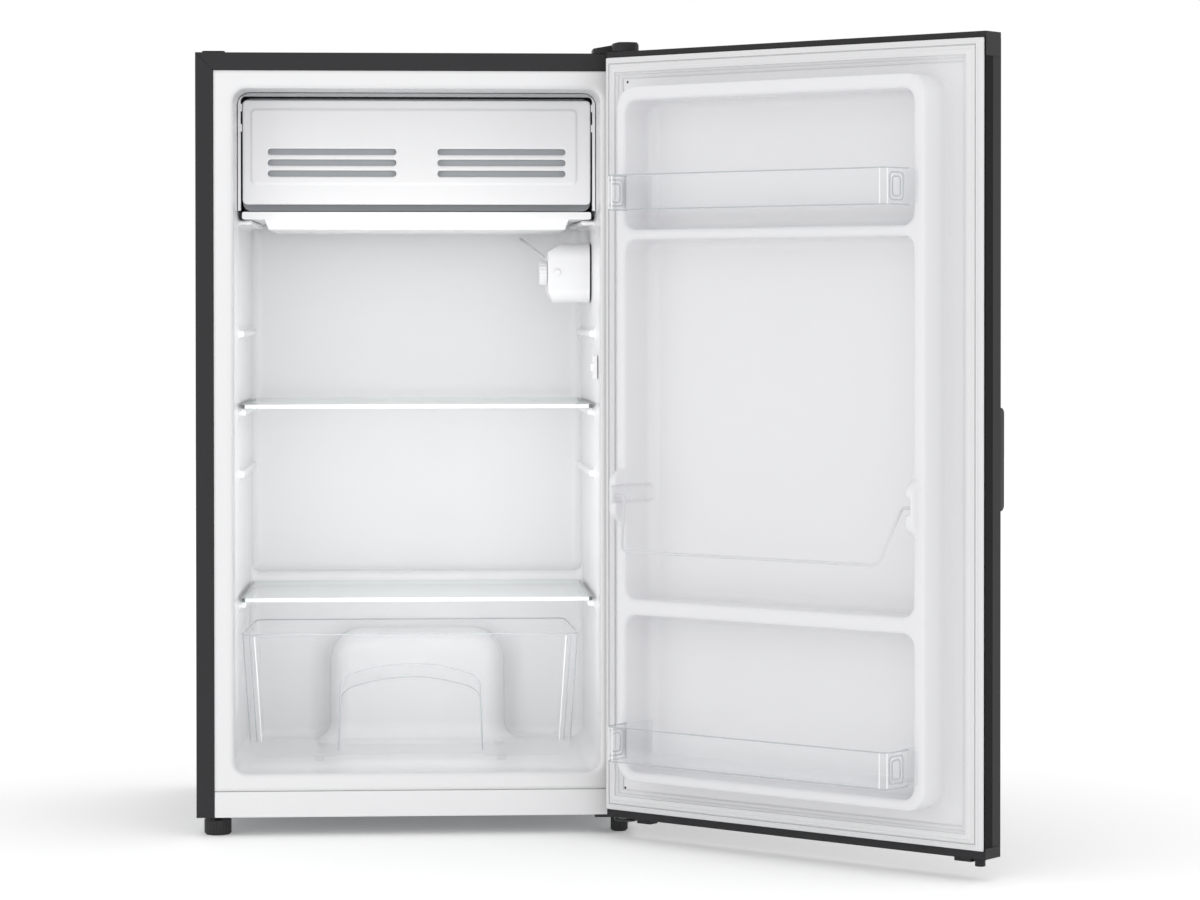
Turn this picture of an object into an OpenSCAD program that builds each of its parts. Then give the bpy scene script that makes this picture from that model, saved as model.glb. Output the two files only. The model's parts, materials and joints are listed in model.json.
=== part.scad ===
// Compact under-counter refrigerator with a freezer box behind a flap, two glass shelves,
// a clear crisper drawer and a right-hinged door with racks, drawn with the door open.
// Origin: on the floor, under the middle of the cabinet's front face. +X right, +Y back, +Z up.

/* [Cabinet] */
// Width of the cabinet and of the door
cab_w = 472; // [460:1:490]
// Depth of the steel cabinet, without the door
cab_d = 405; // [400:1:420]
// Height of the cabinet's underside above the floor
cab_z0 = 20.5; // [18:0.5:24]
// Height of the cabinet's top above the floor
cab_z1 = 837.5; // [830:0.5:845]
// Thickness of the outer steel sheet
steel = 1; // [0.8:0.1:1.2]
// Width of the steel flange around the front
flange_w = 19; // [16:0.5:20]
// Thickness of the plastic liners
liner_t = 2; // [1.5:0.1:2.5]
// Height of the white rail under the opening
rail_h = 28; // [24:1:30]

/* [Interior] */
// Width of the opening in the front face
open_w = 400; // [390:1:402]
// Lower edge of the opening above the floor
open_z0 = 62.5; // [60:0.5:64]
// Upper edge of the opening above the floor
open_z1 = 803.5; // [800:0.5:806]
// Distance from the front face to the upper back wall
back_y = 366; // [360:1:368]
// Distance from the front face to the lower back wall
low_back_y = 322; // [318:1:326]
// Height of the step between the two back walls
step_z = 258; // [255:1:262]
// Height of the hump over the compressor
hump_z = 196; // [190:1:200]
// Width of the hump over the compressor
hump_w = 200; // [190:2:210]
// Setback of shelves, drawer and freezer flap behind the front face
setback = 76; // [74:1:84]

/* [Door] */
// Angle at which the door stands open
door_open = 138.5; // [0:0.5:145]
// Depth of the door's edge, from the front sheet to the white liner
door_edge = 29; // [28:0.5:30]
// Gap between the door's edge and the cabinet, filled by the gasket
door_gap = 10; // [10:0.5:12]
// Sideways place of the hinge pins
pivot_x = 222; // [220:0.5:224]
// Distance of the hinge pins in front of the cabinet
pivot_y = -24; // [-26:0.5:-24]
// Lower edge of the door above the floor
door_z0 = 22.5; // [22:0.5:24]
// Upper edge of the door above the floor
door_z1 = 837; // [835:0.5:837]
// Depth of the raised rim of the door liner behind the front sheet
rim_n = 72; // [68:1:74]
// Radius of the hinge pins
pin_r = 4; // [3.5:0.1:4.5]

/* [Shelves and drawer] */
// Top of the upper glass shelf above the floor
shelf_z = 460; // [440:1:480]
// Top of the crisper's glass cover above the floor
cover_z = 249; // [245:1:252]
// Thickness of the shelf glass
glass_t = 5; // [4:0.5:5]
// Width of the crisper drawer at its top
drawer_w = 369; // [350:1:370]
// Height of the crisper drawer's front
drawer_h = 136; // [120:1:140]
// Depth of the crisper drawer
drawer_d = 184; // [150:1:186]

/* [Door racks] */
// Width of the clear racks
rack_w = 352; // [340:1:354]
// Height of the clear racks
rack_h = 37; // [30:1:40]
// Depth of the racks' front behind the door's front sheet
rack_n = 111; // [104:1:112]
// Underside of the top rack above the floor
rack_top_z = 666; // [660:1:680]
// Underside of the bottom rack above the floor
rack_low_z = 94.5; // [92:0.5:110]

/* [Hidden] */

$fn = 48;
eps = 0.01;
// Air between neighbouring pieces of one body
gap = 0.2;
// Air between bodies that move past each other
slack = 0.5;
hw = cab_w / 2;
flange_in = hw - flange_w;
rail_z1 = cab_z0 + rail_h;
ohw = open_w / 2;
open_r = 18;
// Half-widths and heights of the interior, behind the rounded mouth
mouth_y = 14;
mouth_in = 4;
mid_hw = ohw - mouth_in - 1;
back_hw = ohw - 8;
floor_z = open_z0 + mouth_in;
ceil_z = open_z1 - mouth_in;
ceil_back_z = ceil_z - 2.5;
hump_y = 272;
bay_hw = 85;
bay_y = 298;
bay_z = 171;
panel_t = 1.2;
door_y = -(door_edge + door_gap);

// Extrudes a sketch drawn in X and Z from y0 to y1
module along_y(y0, y1)
    translate([0, y1, 0]) rotate([90, 0, 0]) linear_extrude(y1 - y0) children();

// Extrudes a sketch drawn in Y and Z from x0 to x1
module along_x(x0, x1)
    translate([x0, 0, 0]) rotate([90, 0, 90]) linear_extrude(x1 - x0) children();

// Extrudes a sketch drawn in X and Y from z0 to z1
module along_z(z0, z1)
    translate([0, 0, z0]) linear_extrude(z1 - z0) children();

// A box between two corners
module box(a, b)
    translate(a) cube(b - a);

// A rectangle between two corners
module rect(a, b)
    translate(a) square(b - a);

// A rectangle with round corners between two corners
module round_rect(a, b, r) {
    rect([a.x + r, a.y], [b.x - r, b.y]);
    rect([a.x, a.y + r], [b.x, b.y - r]);
    for (x = [a.x + r, b.x - r], y = [a.y + r, b.y - r])
        translate([x, y]) circle(r);
}

// Its children and their mirror image in the plane x = 0
module both_sides() {
    children();
    mirror([1, 0, 0]) children();
}

// Turns a piece drawn with the door shut to the door's open place
module on_door()
    translate([pivot_x, pivot_y, 0]) rotate(door_open) translate([-pivot_x, -pivot_y, 0]) children();

// ---------------------------------------------------------------- cabinet

module outer_shell()
    color("#3b3b3d") difference() {
        box([-hw, 0, cab_z0], [hw, cab_d, cab_z1]);
        box([-hw + steel, steel, cab_z0 - 1], [hw - steel, cab_d + 1, cab_z1 - steel]);
        box([-flange_in, -1, cab_z0 - 1], [flange_in, steel + 1, cab_z1 - flange_w]);
    }

module bottom_rail() {
    x = flange_in - gap;
    wall = 2.5;
    color("#f2f2f2") along_x(-x, x) difference() {
        rect([gap, cab_z0], [14, rail_z1 - gap]);
        rect([gap + wall, cab_z0 + wall], [15, rail_z1 - gap - wall]);
    }
}

// The air space inside the liner, grown outwards by t
module cavity(t = 0)
    intersection() {
        along_z(0, cab_z1) polygon([
            [-ohw - t, -5], [-ohw - t, 0], [-ohw + mouth_in - t, mouth_y],
            [-mid_hw - t, setback], [-back_hw - t, back_y + t],
            [back_hw + t, back_y + t], [mid_hw + t, setback],
            [ohw - mouth_in + t, mouth_y], [ohw + t, 0], [ohw + t, -5]
        ]);
        along_x(-hw, hw) polygon([
            [-5, open_z0 - t], [0, open_z0 - t], [mouth_y, floor_z - t],
            [low_back_y + t, floor_z - t], [low_back_y + t, step_z - t],
            [back_y + t, step_z - t], [back_y + t, ceil_back_z + t],
            [mouth_y, ceil_z + t], [0, open_z1 + t], [-5, open_z1 + t]
        ]);
        along_y(-5, cab_d) round_rect([-ohw - t, open_z0 - t], [ohw + t, open_z1 + t], open_r + t);
    }

// The hump that makes room for the compressor, grown outwards by t
module hump(t = 0)
    along_y(hump_y - t, cab_d) {
        x = hump_w / 2 + t;
        round_rect([-x, cab_z0 + 20], [x, hump_z + t], 22);
        rect([-x, cab_z0], [x, hump_z - 40]);
    }

rib_y0 = 96;
rib_y1 = 340;
// Spare places for the upper shelf, from its own ribs
spare_ribs = [-68, 86];

// Ribs that carry the glass and the tray, from the side wall inwards
module shelf_rail(z, y0, y1, reach, h = 8) {
    wall = function(y) mid_hw - (mid_hw - back_hw) * (y - setback) / (back_y - setback);
    along_z(z - h, z) polygon([
        [wall(y0) + liner_t / 2, y0], [wall(y0) - reach, y0],
        [wall(y1) - reach, y1], [wall(y1) + liner_t / 2, y1]
    ]);
}

module inner_liner() {
    x = flange_in - gap;
    color("#f4f4f4") {
        difference() {
            cavity(liner_t);
            difference() {
                cavity();
                hump();
            }
            hump(-liner_t);
            box([-hw, -6, 0], [hw, gap, cab_z1]);
        }
        along_y(gap, gap + liner_t) difference() {
            rect([-x, rail_z1 + gap], [x, cab_z1 - flange_w - gap]);
            round_rect([-ohw - eps, open_z0 - eps], [ohw + eps, open_z1 + eps], open_r);
        }
        both_sides() {
            shelf_rail(shelf_z - glass_t - slack, rib_y0, rib_y1, 9);
            for (step = spare_ribs)
                shelf_rail(shelf_z - glass_t - slack + step, rib_y0, rib_y1, 7);
            shelf_rail(cover_z - glass_t - slack, rib_y0, rib_y1 - 40, 9);
            shelf_rail(tray_z - slack, rib_y0, rib_y1, 16, 5);
        }
    }
}

module insulation() {
    skin = steel + gap;
    color("#e8dfb8") difference() {
        union() {
            box([-hw + skin, 16, cab_z0 + 4], [hw - skin, cab_d - gap, cab_z1 - skin]);
            box([-hw + skin, liner_t + 2 * gap, rail_z1 + gap], [hw - skin, 17, cab_z1 - skin]);
        }
        difference() {
            cavity(liner_t + gap);
            hump(-liner_t - gap);
        }
        box([-bay_hw - gap, bay_y - gap, 0], [bay_hw + gap, cab_d + 1, bay_z + gap]);
        both_sides() {
            box([hw - skin - tube_pocket, 60, 120], [hw, 350, 780]);
            translate([foot_x, foot_y, 0]) cylinder(r = 9, h = 44);
            translate([foot_x, rear_foot_y, 0]) cylinder(r = 7, h = 32);
        }
    }
}

module base_pan()
    color("#b9bcc0") difference() {
        box([-hw + steel + gap, 16, cab_z0 + 2], [hw - steel - gap, cab_d - 2, cab_z0 + 3.5]);
        box([-bay_hw - 4, bay_y - 4, 0], [bay_hw + 4, cab_d + 1, bay_z]);
        for (x = [-foot_x, right_foot_x])
            translate([x, foot_y, 0]) cylinder(r = stem_hole_r, h = 60);
        both_sides() translate([foot_x, rear_foot_y, 0]) cylinder(r = 6, h = 60);
        for (p = low_screws)
            translate([p.x, p.y, 0]) cylinder(r = 2.3, h = 60, $fn = 24);
    }

// Screws round the back panel, each drawn along +z from the panel's face
module at_panel_screws()
    for (z = [60, 260, 500, 740, 818], x = [-hw + 9, hw - 9])
        translate([x, cab_d + panel_t, z]) rotate([-90, 0, 0]) children();

module back_panel()
    color("#9a9da1") difference() {
        box([-hw, cab_d, cab_z0], [hw, cab_d + panel_t, cab_z1]);
        box([-bay_hw + 4, cab_d - 1, 0], [bay_hw - 4, cab_d + 2, bay_z - 4]);
        at_panel_screws() cylinder(r = 1.8, h = 8, center = true, $fn = 24);
        translate([gland_x, cab_d - 1, gland_z]) rotate([-90, 0, 0]) cylinder(r = cord_hole_r, h = 4);
    }

module back_panel_screws()
    color("#c9cccf") at_panel_screws() {
        translate([0, 0, eps]) cylinder(r = 3.6, h = 1.8);
        translate([0, 0, -panel_t]) cylinder(r = 1.6, h = panel_t + 1, $fn = 24);
    }

module compressor_bay()
    color("#c3c6c9") difference() {
        box([-bay_hw, bay_y, cab_z0 + 4], [bay_hw, cab_d - gap, bay_z]);
        box([-bay_hw + steel, bay_y + steel, 0], [bay_hw - steel, cab_d, bay_z - steel]);
    }

// ---------------------------------------------------------------- cooling system

comp_y = 352;
comp_x = 12;
comp_r = 46;
plate_z = 27;
grommet_z = 38;
bolt_x = 54;
bolt_y = 34;

module at_bolts()
    for (x = [-bolt_x, bolt_x], y = [-bolt_y, bolt_y])
        translate([comp_x + x, comp_y + y, 0]) children();

module compressor_base()
    color("#8f9398") difference() {
        union() {
            box([-bay_hw + steel + gap, bay_y + 4, plate_z - 2], [bay_hw - steel - gap, cab_d - 2, plate_z]);
            for (x = [-bay_hw + 2, bay_hw - 4])
                box([x, bay_y + 4, plate_z - 5], [x + 2, cab_d - 2, plate_z + 12]);
        }
        at_bolts() cylinder(r = 3.2, h = 60);
    }

module compressor_grommets()
    color("#222222") at_bolts() difference() {
        union() {
            translate([0, 0, plate_z]) cylinder(r = 8, h = grommet_z - plate_z - 2);
            translate([0, 0, grommet_z - 2]) cylinder(r = 6, h = 2);
        }
        cylinder(r = 3.2, h = 60);
    }

module compressor_bolts()
    color("#c9cccf") at_bolts() {
        translate([0, 0, plate_z - 6]) cylinder(r = 3, h = 26);
        translate([0, 0, grommet_z + 2.5 + gap]) cylinder(r = 7, h = 1.5);
        translate([0, 0, grommet_z + 4 + gap]) cylinder(r = 5.5, h = 5, $fn = 6);
    }

module compressor()
    color("#1d1d1f") {
        translate([comp_x, comp_y, grommet_z]) difference() {
            along_z(0, 2.5) round_rect([-bolt_x - 11, -bolt_y - 11], [bolt_x + 11, bolt_y + 11], 8);
            for (x = [-bolt_x, bolt_x], y = [-bolt_y, bolt_y])
                translate([x, y, -1]) cylinder(r = 3.4, h = 6);
        }
        translate([comp_x, comp_y, grommet_z + 2.5]) rotate_extrude($fn = 64) {
            rect([0, 0], [comp_r, 60]);
            intersection() {
                translate([0, 60]) circle(comp_r);
                rect([0, 60], [comp_r, 84]);
            }
            rect([comp_r, 50], [comp_r + 2, 56]);
        }
    }

module relay_cover()
    color("#2a2a2c") along_z(60, 96)
        round_rect([comp_x - comp_r - 24, comp_y - 20], [comp_x - comp_r - 2.5, comp_y + 20], 4);

module filter_dryer()
    color("#b87333") translate([bay_hw - 12, 382, 58]) {
        cylinder(r = 8, h = 70);
        translate([0, 0, 70]) cylinder(r1 = 8, r2 = 2.5, h = 12);
        translate([0, 0, -10]) cylinder(r1 = 2.5, r2 = 8, h = 10);
    }

// A round rod from a to b
module rod(a, b, r) {
    d = b - a;
    l = norm(d);
    translate(a) rotate([0, acos(d.z / l), atan2(d.y, d.x)]) cylinder(r = r, h = l, $fn = 20);
}

// Straight rods through a list of points, each run on a little at its bends
module tube_run(points, r) {
    last = len(points) - 1;
    for (i = [1 : last]) {
        step = points[i] - points[i - 1];
        more = 0.5 * r * step / norm(step);
        rod(points[i - 1] - (i > 1 ? more : 0 * more), points[i] + (i < last ? more : 0 * more), r);
    }
}

// Straight out of the compressor, through a quarter bend and up
module discharge_tube() {
    r = 2.4;
    bend = 6;
    x0 = comp_x + comp_r + 0.3;
    x1 = 64;
    z0 = 70;
    color("#b87333") translate([0, comp_y, z0]) {
        translate([x0, 0, 0]) rotate([0, 90, 0]) cylinder(r = r, h = x1 - x0, $fn = 20);
        translate([x1, 0, bend]) rotate([90, 0, 0]) rotate(-90)
            rotate_extrude(angle = 90) translate([bend, 0]) circle(r, $fn = 20);
        translate([x1 + bend, 0, bend]) cylinder(r = r, h = 90, $fn = 20);
    }
}

module suction_tube()
    color("#b87333") tube_run([
        [comp_x - 29.8, comp_y + 35.6, 84], [comp_x - 36, comp_y + 43, 84],
        [comp_x - 36, comp_y + 43, 150], [comp_x - 44, comp_y + 38, 168]
    ], 3);

tube_pocket = 6;
tube_r = 2.4;

// Hot tube behind the cabinet's sides, wound up and down
module condenser_tube() {
    runs = 6;
    pitch = 46;
    y0 = 84;
    z0 = 150;
    z1 = 750;
    color("#a9adb2") both_sides() translate([hw - steel - gap - tube_r - 0.4, 0, 0]) {
        for (i = [0 : runs - 1])
            translate([0, y0 + i * pitch, z0]) cylinder(r = tube_r, h = z1 - z0, $fn = 16);
        for (i = [0 : runs - 2])
            translate([0, y0 + (i + 0.5) * pitch, i % 2 == 0 ? z1 : z0])
                rotate([90, i % 2 == 0 ? 0 : 180, 90])
                    rotate_extrude(angle = 180) translate([pitch / 2, 0]) circle(tube_r, $fn = 16);
    }
}

// Pan on the compressor's dome that catches the melt water
module evaporating_pan() {
    z = grommet_z + 2.5 + 84 + gap;
    color("#303033") difference() {
        along_z(z, z + 19) round_rect([comp_x - 40, comp_y - 38], [comp_x + 34, comp_y + 32], 6);
        along_z(z + 2, z + 20) round_rect([comp_x - 38, comp_y - 36], [comp_x + 32, comp_y + 30], 4);
    }
}

gland_x = -62;
gland_z = 184;
cord_hole_r = 3.6;

module cord_gland()
    color("#1c1c1e") translate([gland_x, cab_d + panel_t, gland_z]) rotate([-90, 0, 0]) difference() {
        union() {
            cylinder(r = 9, h = 3);
            cylinder(r = 6.5, h = 4.6);
        }
        translate([0, 0, -1]) cylinder(r = cord_hole_r, h = 8);
    }

// ---------------------------------------------------------------- freezer

evap_hw = 190;
evap_z0 = 670.5;
evap_z1 = 794;
evap_y0 = 92;
evap_y1 = 352;

evap_r = 10;

// The evaporator's outline from the front, drawn in by t
module evaporator_outline(t)
    round_rect([-evap_hw + t, evap_z0 + t], [evap_hw - t, evap_z1 - t], evap_r - t);

// Aluminium box of the freezer, closed at the back, with a lip round its mouth
module evaporator() {
    t = 1.6;
    lip_side = 14;
    lip_low = 9.5;
    lip_top = 6;
    color("#b4b8bb") {
        along_y(evap_y0, evap_y1) difference() {
            evaporator_outline(0);
            evaporator_outline(t);
        }
        along_y(evap_y1 - t, evap_y1) evaporator_outline(1);
        along_y(evap_y0, evap_y0 + t) difference() {
            evaporator_outline(1);
            round_rect([-evap_hw + lip_side, evap_z0 + lip_low], [evap_hw - lip_side, evap_z1 - lip_top], 4);
        }
    }
}

flap_hw = 189.5;
flap_z0 = 677.5;
flap_z1 = 791.2;
flap_t = 9;
flap_wall = 2.4;
flap_pin_z = 783;
flap_pin_y = setback + 5;
flap_pin_r = 2.5;
flap_pin_reach = 2.4;
slot_x0 = 22.5;
slot_x1 = 162;
slot_h = 6.8;
slot_pitch = 11.85;
slot_low_z = 711.3;

module freezer_flap()
    color("#f3f3f3") difference() {
        union() {
            along_y(setback, setback + flap_t)
                round_rect([-flap_hw, flap_z0], [flap_hw, flap_z1], 4);
            along_x(-flap_hw - flap_pin_reach, flap_hw + flap_pin_reach)
                translate([flap_pin_y, flap_pin_z]) circle(flap_pin_r, $fn = 24);
        }
        along_y(setback + flap_wall, setback + flap_t + 1)
            round_rect([-flap_hw + 3, flap_z0 + 3], [flap_hw - 3, flap_z1 - 14], 3);
        both_sides() for (i = [0 : 2], z = slot_low_z + i * slot_pitch)
            along_y(setback - 1, setback + flap_t)
                round_rect([slot_x0, z - slot_h / 2], [slot_x1, z + slot_h / 2], slot_h / 2 - eps);
    }

// Aluminium sheet in the flap's hollow back, seen through its slots
module flap_back_sheet() {
    inset = 3.4;
    y = setback + flap_t - 1.6;
    color("#a9acaf") along_y(y, y + 0.8)
        round_rect([-flap_hw + inset, flap_z0 + inset], [flap_hw - inset, flap_z1 - 14.4], 2.6);
}

frame_z0 = 671;
frame_y0 = setback + 1;
frame_y1 = setback + 14;
frame_boss = 4;
frame_stop_drop = 22;

// White frame round the flap, with the bosses of its pins and a stop below each
module freezer_frame() {
    inner = flap_hw + 2;
    outer = mid_hw - 2 * gap;
    top = ceil_z - 0.7;
    below = frame_z0 - 30;
    color("#eeeeee") difference() {
        union() {
            along_y(frame_y0, frame_y1) difference() {
                round_rect([-outer, below], [outer, top], 13);
                round_rect([-inner, below - 1], [inner, flap_z1 + 4], 5);
                rect([-outer - 1, below - 1], [outer + 1, frame_z0]);
            }
            both_sides() for (z = [flap_pin_z, flap_pin_z - frame_stop_drop])
                box([flap_hw + slack, frame_y0, z - frame_boss], [inner + 1, frame_y1, z + frame_boss]);
        }
        both_sides() along_x(flap_hw, flap_hw + flap_pin_reach + gap) translate([flap_pin_y, flap_pin_z])
            circle(flap_pin_r + 0.08, $fn = 24);
    }
}

tray_z = 661.5;
tray_hw = 188;
tray_y1 = 340;

// Shallow tray that slides on the ribs under the freezer, deeper in its middle
module drip_tray() {
    t = 2;
    low_z = 650.5;
    top_z = 669.5;
    pan_hw = 161.5;
    slope = 4;
    slope_wall = 1.7;
    in_hw = tray_hw - t;
    in_pan_hw = pan_hw - slope_wall;
    color("#f3f3f3") {
        difference() {
            along_y(setback, tray_y1) polygon([
                [-tray_hw, top_z - 4], [-tray_hw, tray_z], [-pan_hw - slope, tray_z], [-pan_hw, low_z],
                [pan_hw, low_z], [pan_hw + slope, tray_z], [tray_hw, tray_z], [tray_hw, top_z - 4]
            ]);
            along_y(setback + t, tray_y1 - t) polygon([
                [-in_hw, top_z], [-in_hw, tray_z + t], [-in_pan_hw - slope, tray_z + t],
                [-in_pan_hw, low_z + t], [in_pan_hw, low_z + t], [in_pan_hw + slope, tray_z + t],
                [in_hw, tray_z + t], [in_hw, top_z]
            ]);
        }
        along_y(setback - t, setback) round_rect([-tray_hw - t, tray_z], [tray_hw + t, top_z], t);
    }
}

// ---------------------------------------------------------------- controls on the right wall

ctl_x0 = 146;
ctl_x1 = 192.6;
ctl_y0 = 152;
ctl_y1 = 238;
ctl_z0 = 570.5;
ctl_z1 = 637;
knob_y = 182;
knob_z = 604;
stem_r = 3;
// Slopes at the housing's free corners, sideways and upright
ctl_low_cut = [6, 12];
ctl_top_cut = [15, 10];

// The housing's outline from the front, drawn in by t
module housing_outline(t) {
    x = ctl_x0 + t;
    polygon([
        [x, ctl_z0 + ctl_low_cut.y + t / 4], [x + ctl_low_cut.x - 0.4 * t, ctl_z0 + t],
        [ctl_x1 + 1, ctl_z0 + t], [ctl_x1 + 1, ctl_z1 - t],
        [x + ctl_top_cut.x - 0.75 * t, ctl_z1 - t], [x, ctl_z1 - ctl_top_cut.y - 0.6 * t]
    ]);
}

module control_housing() {
    t = 2;
    color("#f0f0f0") difference() {
        intersection() {
            along_x(ctl_x0, ctl_x1) round_rect([ctl_y0, ctl_z0], [ctl_y1, ctl_z1], 16);
            along_y(ctl_y0 - 1, ctl_y1 + 1) housing_outline(0);
        }
        intersection() {
            along_x(ctl_x0 + t, ctl_x1 + 1)
                round_rect([ctl_y0 + t, ctl_z0 + t], [ctl_y1 - t, ctl_z1 - t], 14);
            along_y(ctl_y0 - 1, ctl_y1 + 1) housing_outline(t);
        }
        along_x(ctl_x0 - 1, ctl_x0 + t + 1) translate([knob_y, knob_z]) circle(stem_r + 0.4);
        along_y(ctl_y0 - 1, ctl_y0 + t + 1) translate([ctl_x0 + 10, knob_z]) circle(2.2, $fn = 24);
    }
}

module thermostat()
    color("#d8d8d8") difference() {
        box([ctl_x0 + 12, knob_y - 16, knob_z - 14], [ctl_x0 + 34, knob_y + 16, knob_z + 14]);
        along_x(ctl_x0 + 11, ctl_x0 + 26) translate([knob_y, knob_z]) circle(stem_r + 0.06);
    }

module lamp()
    color("#fff3d0") translate([ctl_x0 + 22, 0, 583]) {
        translate([0, 206, 0]) sphere(r = 7);
        translate([0, 206, 0]) rotate([-90, 0, 0]) cylinder(r = 4.5, h = 26);
    }

module housing_screw()
    color("#e2e2e2") translate([ctl_x0 + 10, ctl_y0, knob_z]) rotate([-90, 0, 0]) {
        translate([0, 0, -1.6]) cylinder(r = 4, h = 1.6);
        cylinder(r = 2, h = 12, $fn = 24);
    }

module thermostat_knob()
    color("#f6f6f6") {
        along_x(ctl_x0 - 9, ctl_x0 - slack) translate([knob_y, knob_z]) difference() {
            circle(13.5);
            for (i = [0 : 17])
                rotate(i * 20) translate([14.2, 0]) circle(1.2, $fn = 16);
        }
        along_x(ctl_x0 - 1, ctl_x0 + 24) translate([knob_y, knob_z]) circle(stem_r);
    }

// Capillary of the thermostat, from the housing towards the back wall under the evaporator
module sensor_tube()
    color("#e6e6e6") rod([150, ctl_y1 + 1, 618], [122, tray_y1 + 16, 645], 1.6);

switch_y0 = 38;
switch_y1 = 62;
switch_z = 500.5;

module switch_housing()
    color("#ececec") difference() {
        box([190.8, switch_y0, switch_z - 13], [194.8, switch_y1, switch_z + 13]);
        box([190, switch_y0 + 5, switch_z - 4], [196, switch_y1 - 5, switch_z + 4]);
    }

module switch_button()
    color("#fafafa") along_z(switch_z - 3.5, switch_z + 3.5) polygon([
        [188.2, switch_y0 + 8.5], [188.2, switch_y1 - 8.5], [190.2, switch_y1 - 5.5],
        [192, switch_y1 - 5.5], [192, switch_y0 + 5.5], [190.2, switch_y0 + 5.5]
    ]);

// ---------------------------------------------------------------- shelves and drawer

// A glass plate whose sides follow the walls, with its front corners cut
module glass_plate(z, y1) {
    x0 = mid_hw - 3.5;
    x1 = mid_hw - 3.5 - (mid_hw - back_hw) * (y1 - setback) / (back_y - setback);
    cut = 4;
    along_z(z - glass_t, z) polygon([
        [-x0 + cut, setback], [x0 - cut, setback], [x0, setback + cut], [x1, y1],
        [-x1, y1], [-x0, setback + cut]
    ]);
}

module upper_shelf()
    color("#cfe6e0", 0.5) glass_plate(shelf_z, 352);

module crisper_cover()
    color("#cfe6e0", 0.5) glass_plate(cover_z, 314);

drawer_x = -7.5;
drawer_z0 = floor_z + 6.5;
drawer_z1 = drawer_z0 + drawer_h;
drawer_y0 = setback + 4;
drawer_y1 = drawer_y0 + drawer_d;
drawer_t = 2.4;
drawer_taper = 8.5;
pull_hw = 76;
pull_z = drawer_z0 + 88;
pull_rise = 15;
pull_d = 30;

// The drawer's outer form, shrunk inwards by t, narrower towards its floor
module drawer_form(t = 0) {
    x = drawer_w / 2 - t;
    intersection() {
        along_y(drawer_y0 + t, drawer_y1 - t) translate([drawer_x, 0]) intersection() {
            polygon([
                [-x, drawer_z1 + t], [-x + 9, drawer_z0 + t], [x - 9, drawer_z0 + t], [x, drawer_z1 + t]
            ]);
            round_rect([-x - 1, drawer_z0 + t], [x + 1, drawer_z1 + 40], 18 - t);
        }
        along_x(-hw, hw) polygon([
            [drawer_y0 + t, drawer_z1 + t + 1], [drawer_y0 + 4 + t, drawer_z0],
            [drawer_y1 - 8 - t, drawer_z0], [drawer_y1 - t, drawer_z1 + t + 1]
        ]);
        along_z(drawer_z0 - 1, drawer_z1 + 2) drawer_plan(x);
    }
}

// The drawer's outline from above, of half-width x at the front and narrower at the back
module drawer_plan(x)
    translate([drawer_x, 0]) polygon([
        [-x, drawer_y0], [x, drawer_y0], [x - drawer_taper, drawer_y1], [-x + drawer_taper, drawer_y1]
    ]);

// Hand recess in the drawer's front, with an arched top that slopes down to its back
module pull_form(t = 0)
    intersection() {
        along_y(drawer_y0 - 1, drawer_y0 + pull_d + t) translate([drawer_x, 0]) intersection() {
            rect([-pull_hw - t, drawer_z0 - 10], [pull_hw + t, pull_z + pull_rise + t]);
            translate([0, pull_z + pull_rise - 200]) circle(200 + t, $fn = 180);
        }
        along_x(-hw, hw) polygon([
            [drawer_y0 - 2, drawer_z0 - 10], [drawer_y0 - 2, pull_z + pull_rise + t + 2],
            [drawer_y0 + pull_d + t, pull_z + pull_rise + t - 18], [drawer_y0 + pull_d + t, drawer_z0 - 10]
        ]);
    }

module crisper_drawer()
    color("#dfeef2", 0.45) {
        difference() {
            union() {
                difference() {
                    drawer_form();
                    drawer_form(drawer_t);
                }
                intersection() {
                    drawer_form();
                    pull_form(drawer_t);
                }
            }
            pull_form();
        }
        difference() {
            along_z(drawer_z1 - 2.5, drawer_z1) intersection() {
                drawer_plan(drawer_w / 2 + 2);
                rect([-hw, drawer_y0 + 10], [hw, drawer_y1]);
            }
            along_z(drawer_z1 - 3, drawer_z1 + 1) intersection() {
                drawer_plan(drawer_w / 2 - 2);
                rect([-hw, drawer_y0 + 9], [hw, drawer_y1 - 1.5]);
            }
        }
        for (x = [-1, 1], y = [drawer_y0 + 16, drawer_y1 - 30])
            translate([drawer_x + x * 100, y, floor_z + slack])
                cylinder(r = 5, h = drawer_z0 - floor_z - slack + 0.5);
    }

// ---------------------------------------------------------------- hinges and feet

foot_x = 214.5;
right_foot_x = foot_x + 3;
foot_stem_r = 4;
stem_hole_r = foot_stem_r + 0.08;
foot_y = 25;
rear_foot_y = 378;
top_screws = [[200, 12], [226, 12], [213, 30]];
low_screws = [[198, 36], [198, 20]];

module top_hinge_bracket()
    color("#8c9094") {
        difference() {
            along_z(cab_z1, cab_z1 + 2.5) {
                rect([192, 2], [234, 36]);
                rect([pivot_x - 11, pivot_y], [pivot_x + 11, 10]);
                translate([pivot_x, pivot_y]) circle(11);
            }
            for (p = top_screws)
                translate([p.x, p.y, cab_z1 - 1]) cylinder(r = 2.6, h = 5, $fn = 24);
        }
        translate([pivot_x, pivot_y, door_z1 - 13]) cylinder(r = pin_r, h = cab_z1 + 2 - door_z1 + 13);
    }

module top_hinge_screws()
    color("#c9cccf") for (p = top_screws)
        translate([p.x, p.y, cab_z1 + gap]) {
            cylinder(r = 2.2, h = 3, $fn = 24);
            translate([0, 0, 2.5]) cylinder(r = 4.5, h = 2.2);
        }

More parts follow.
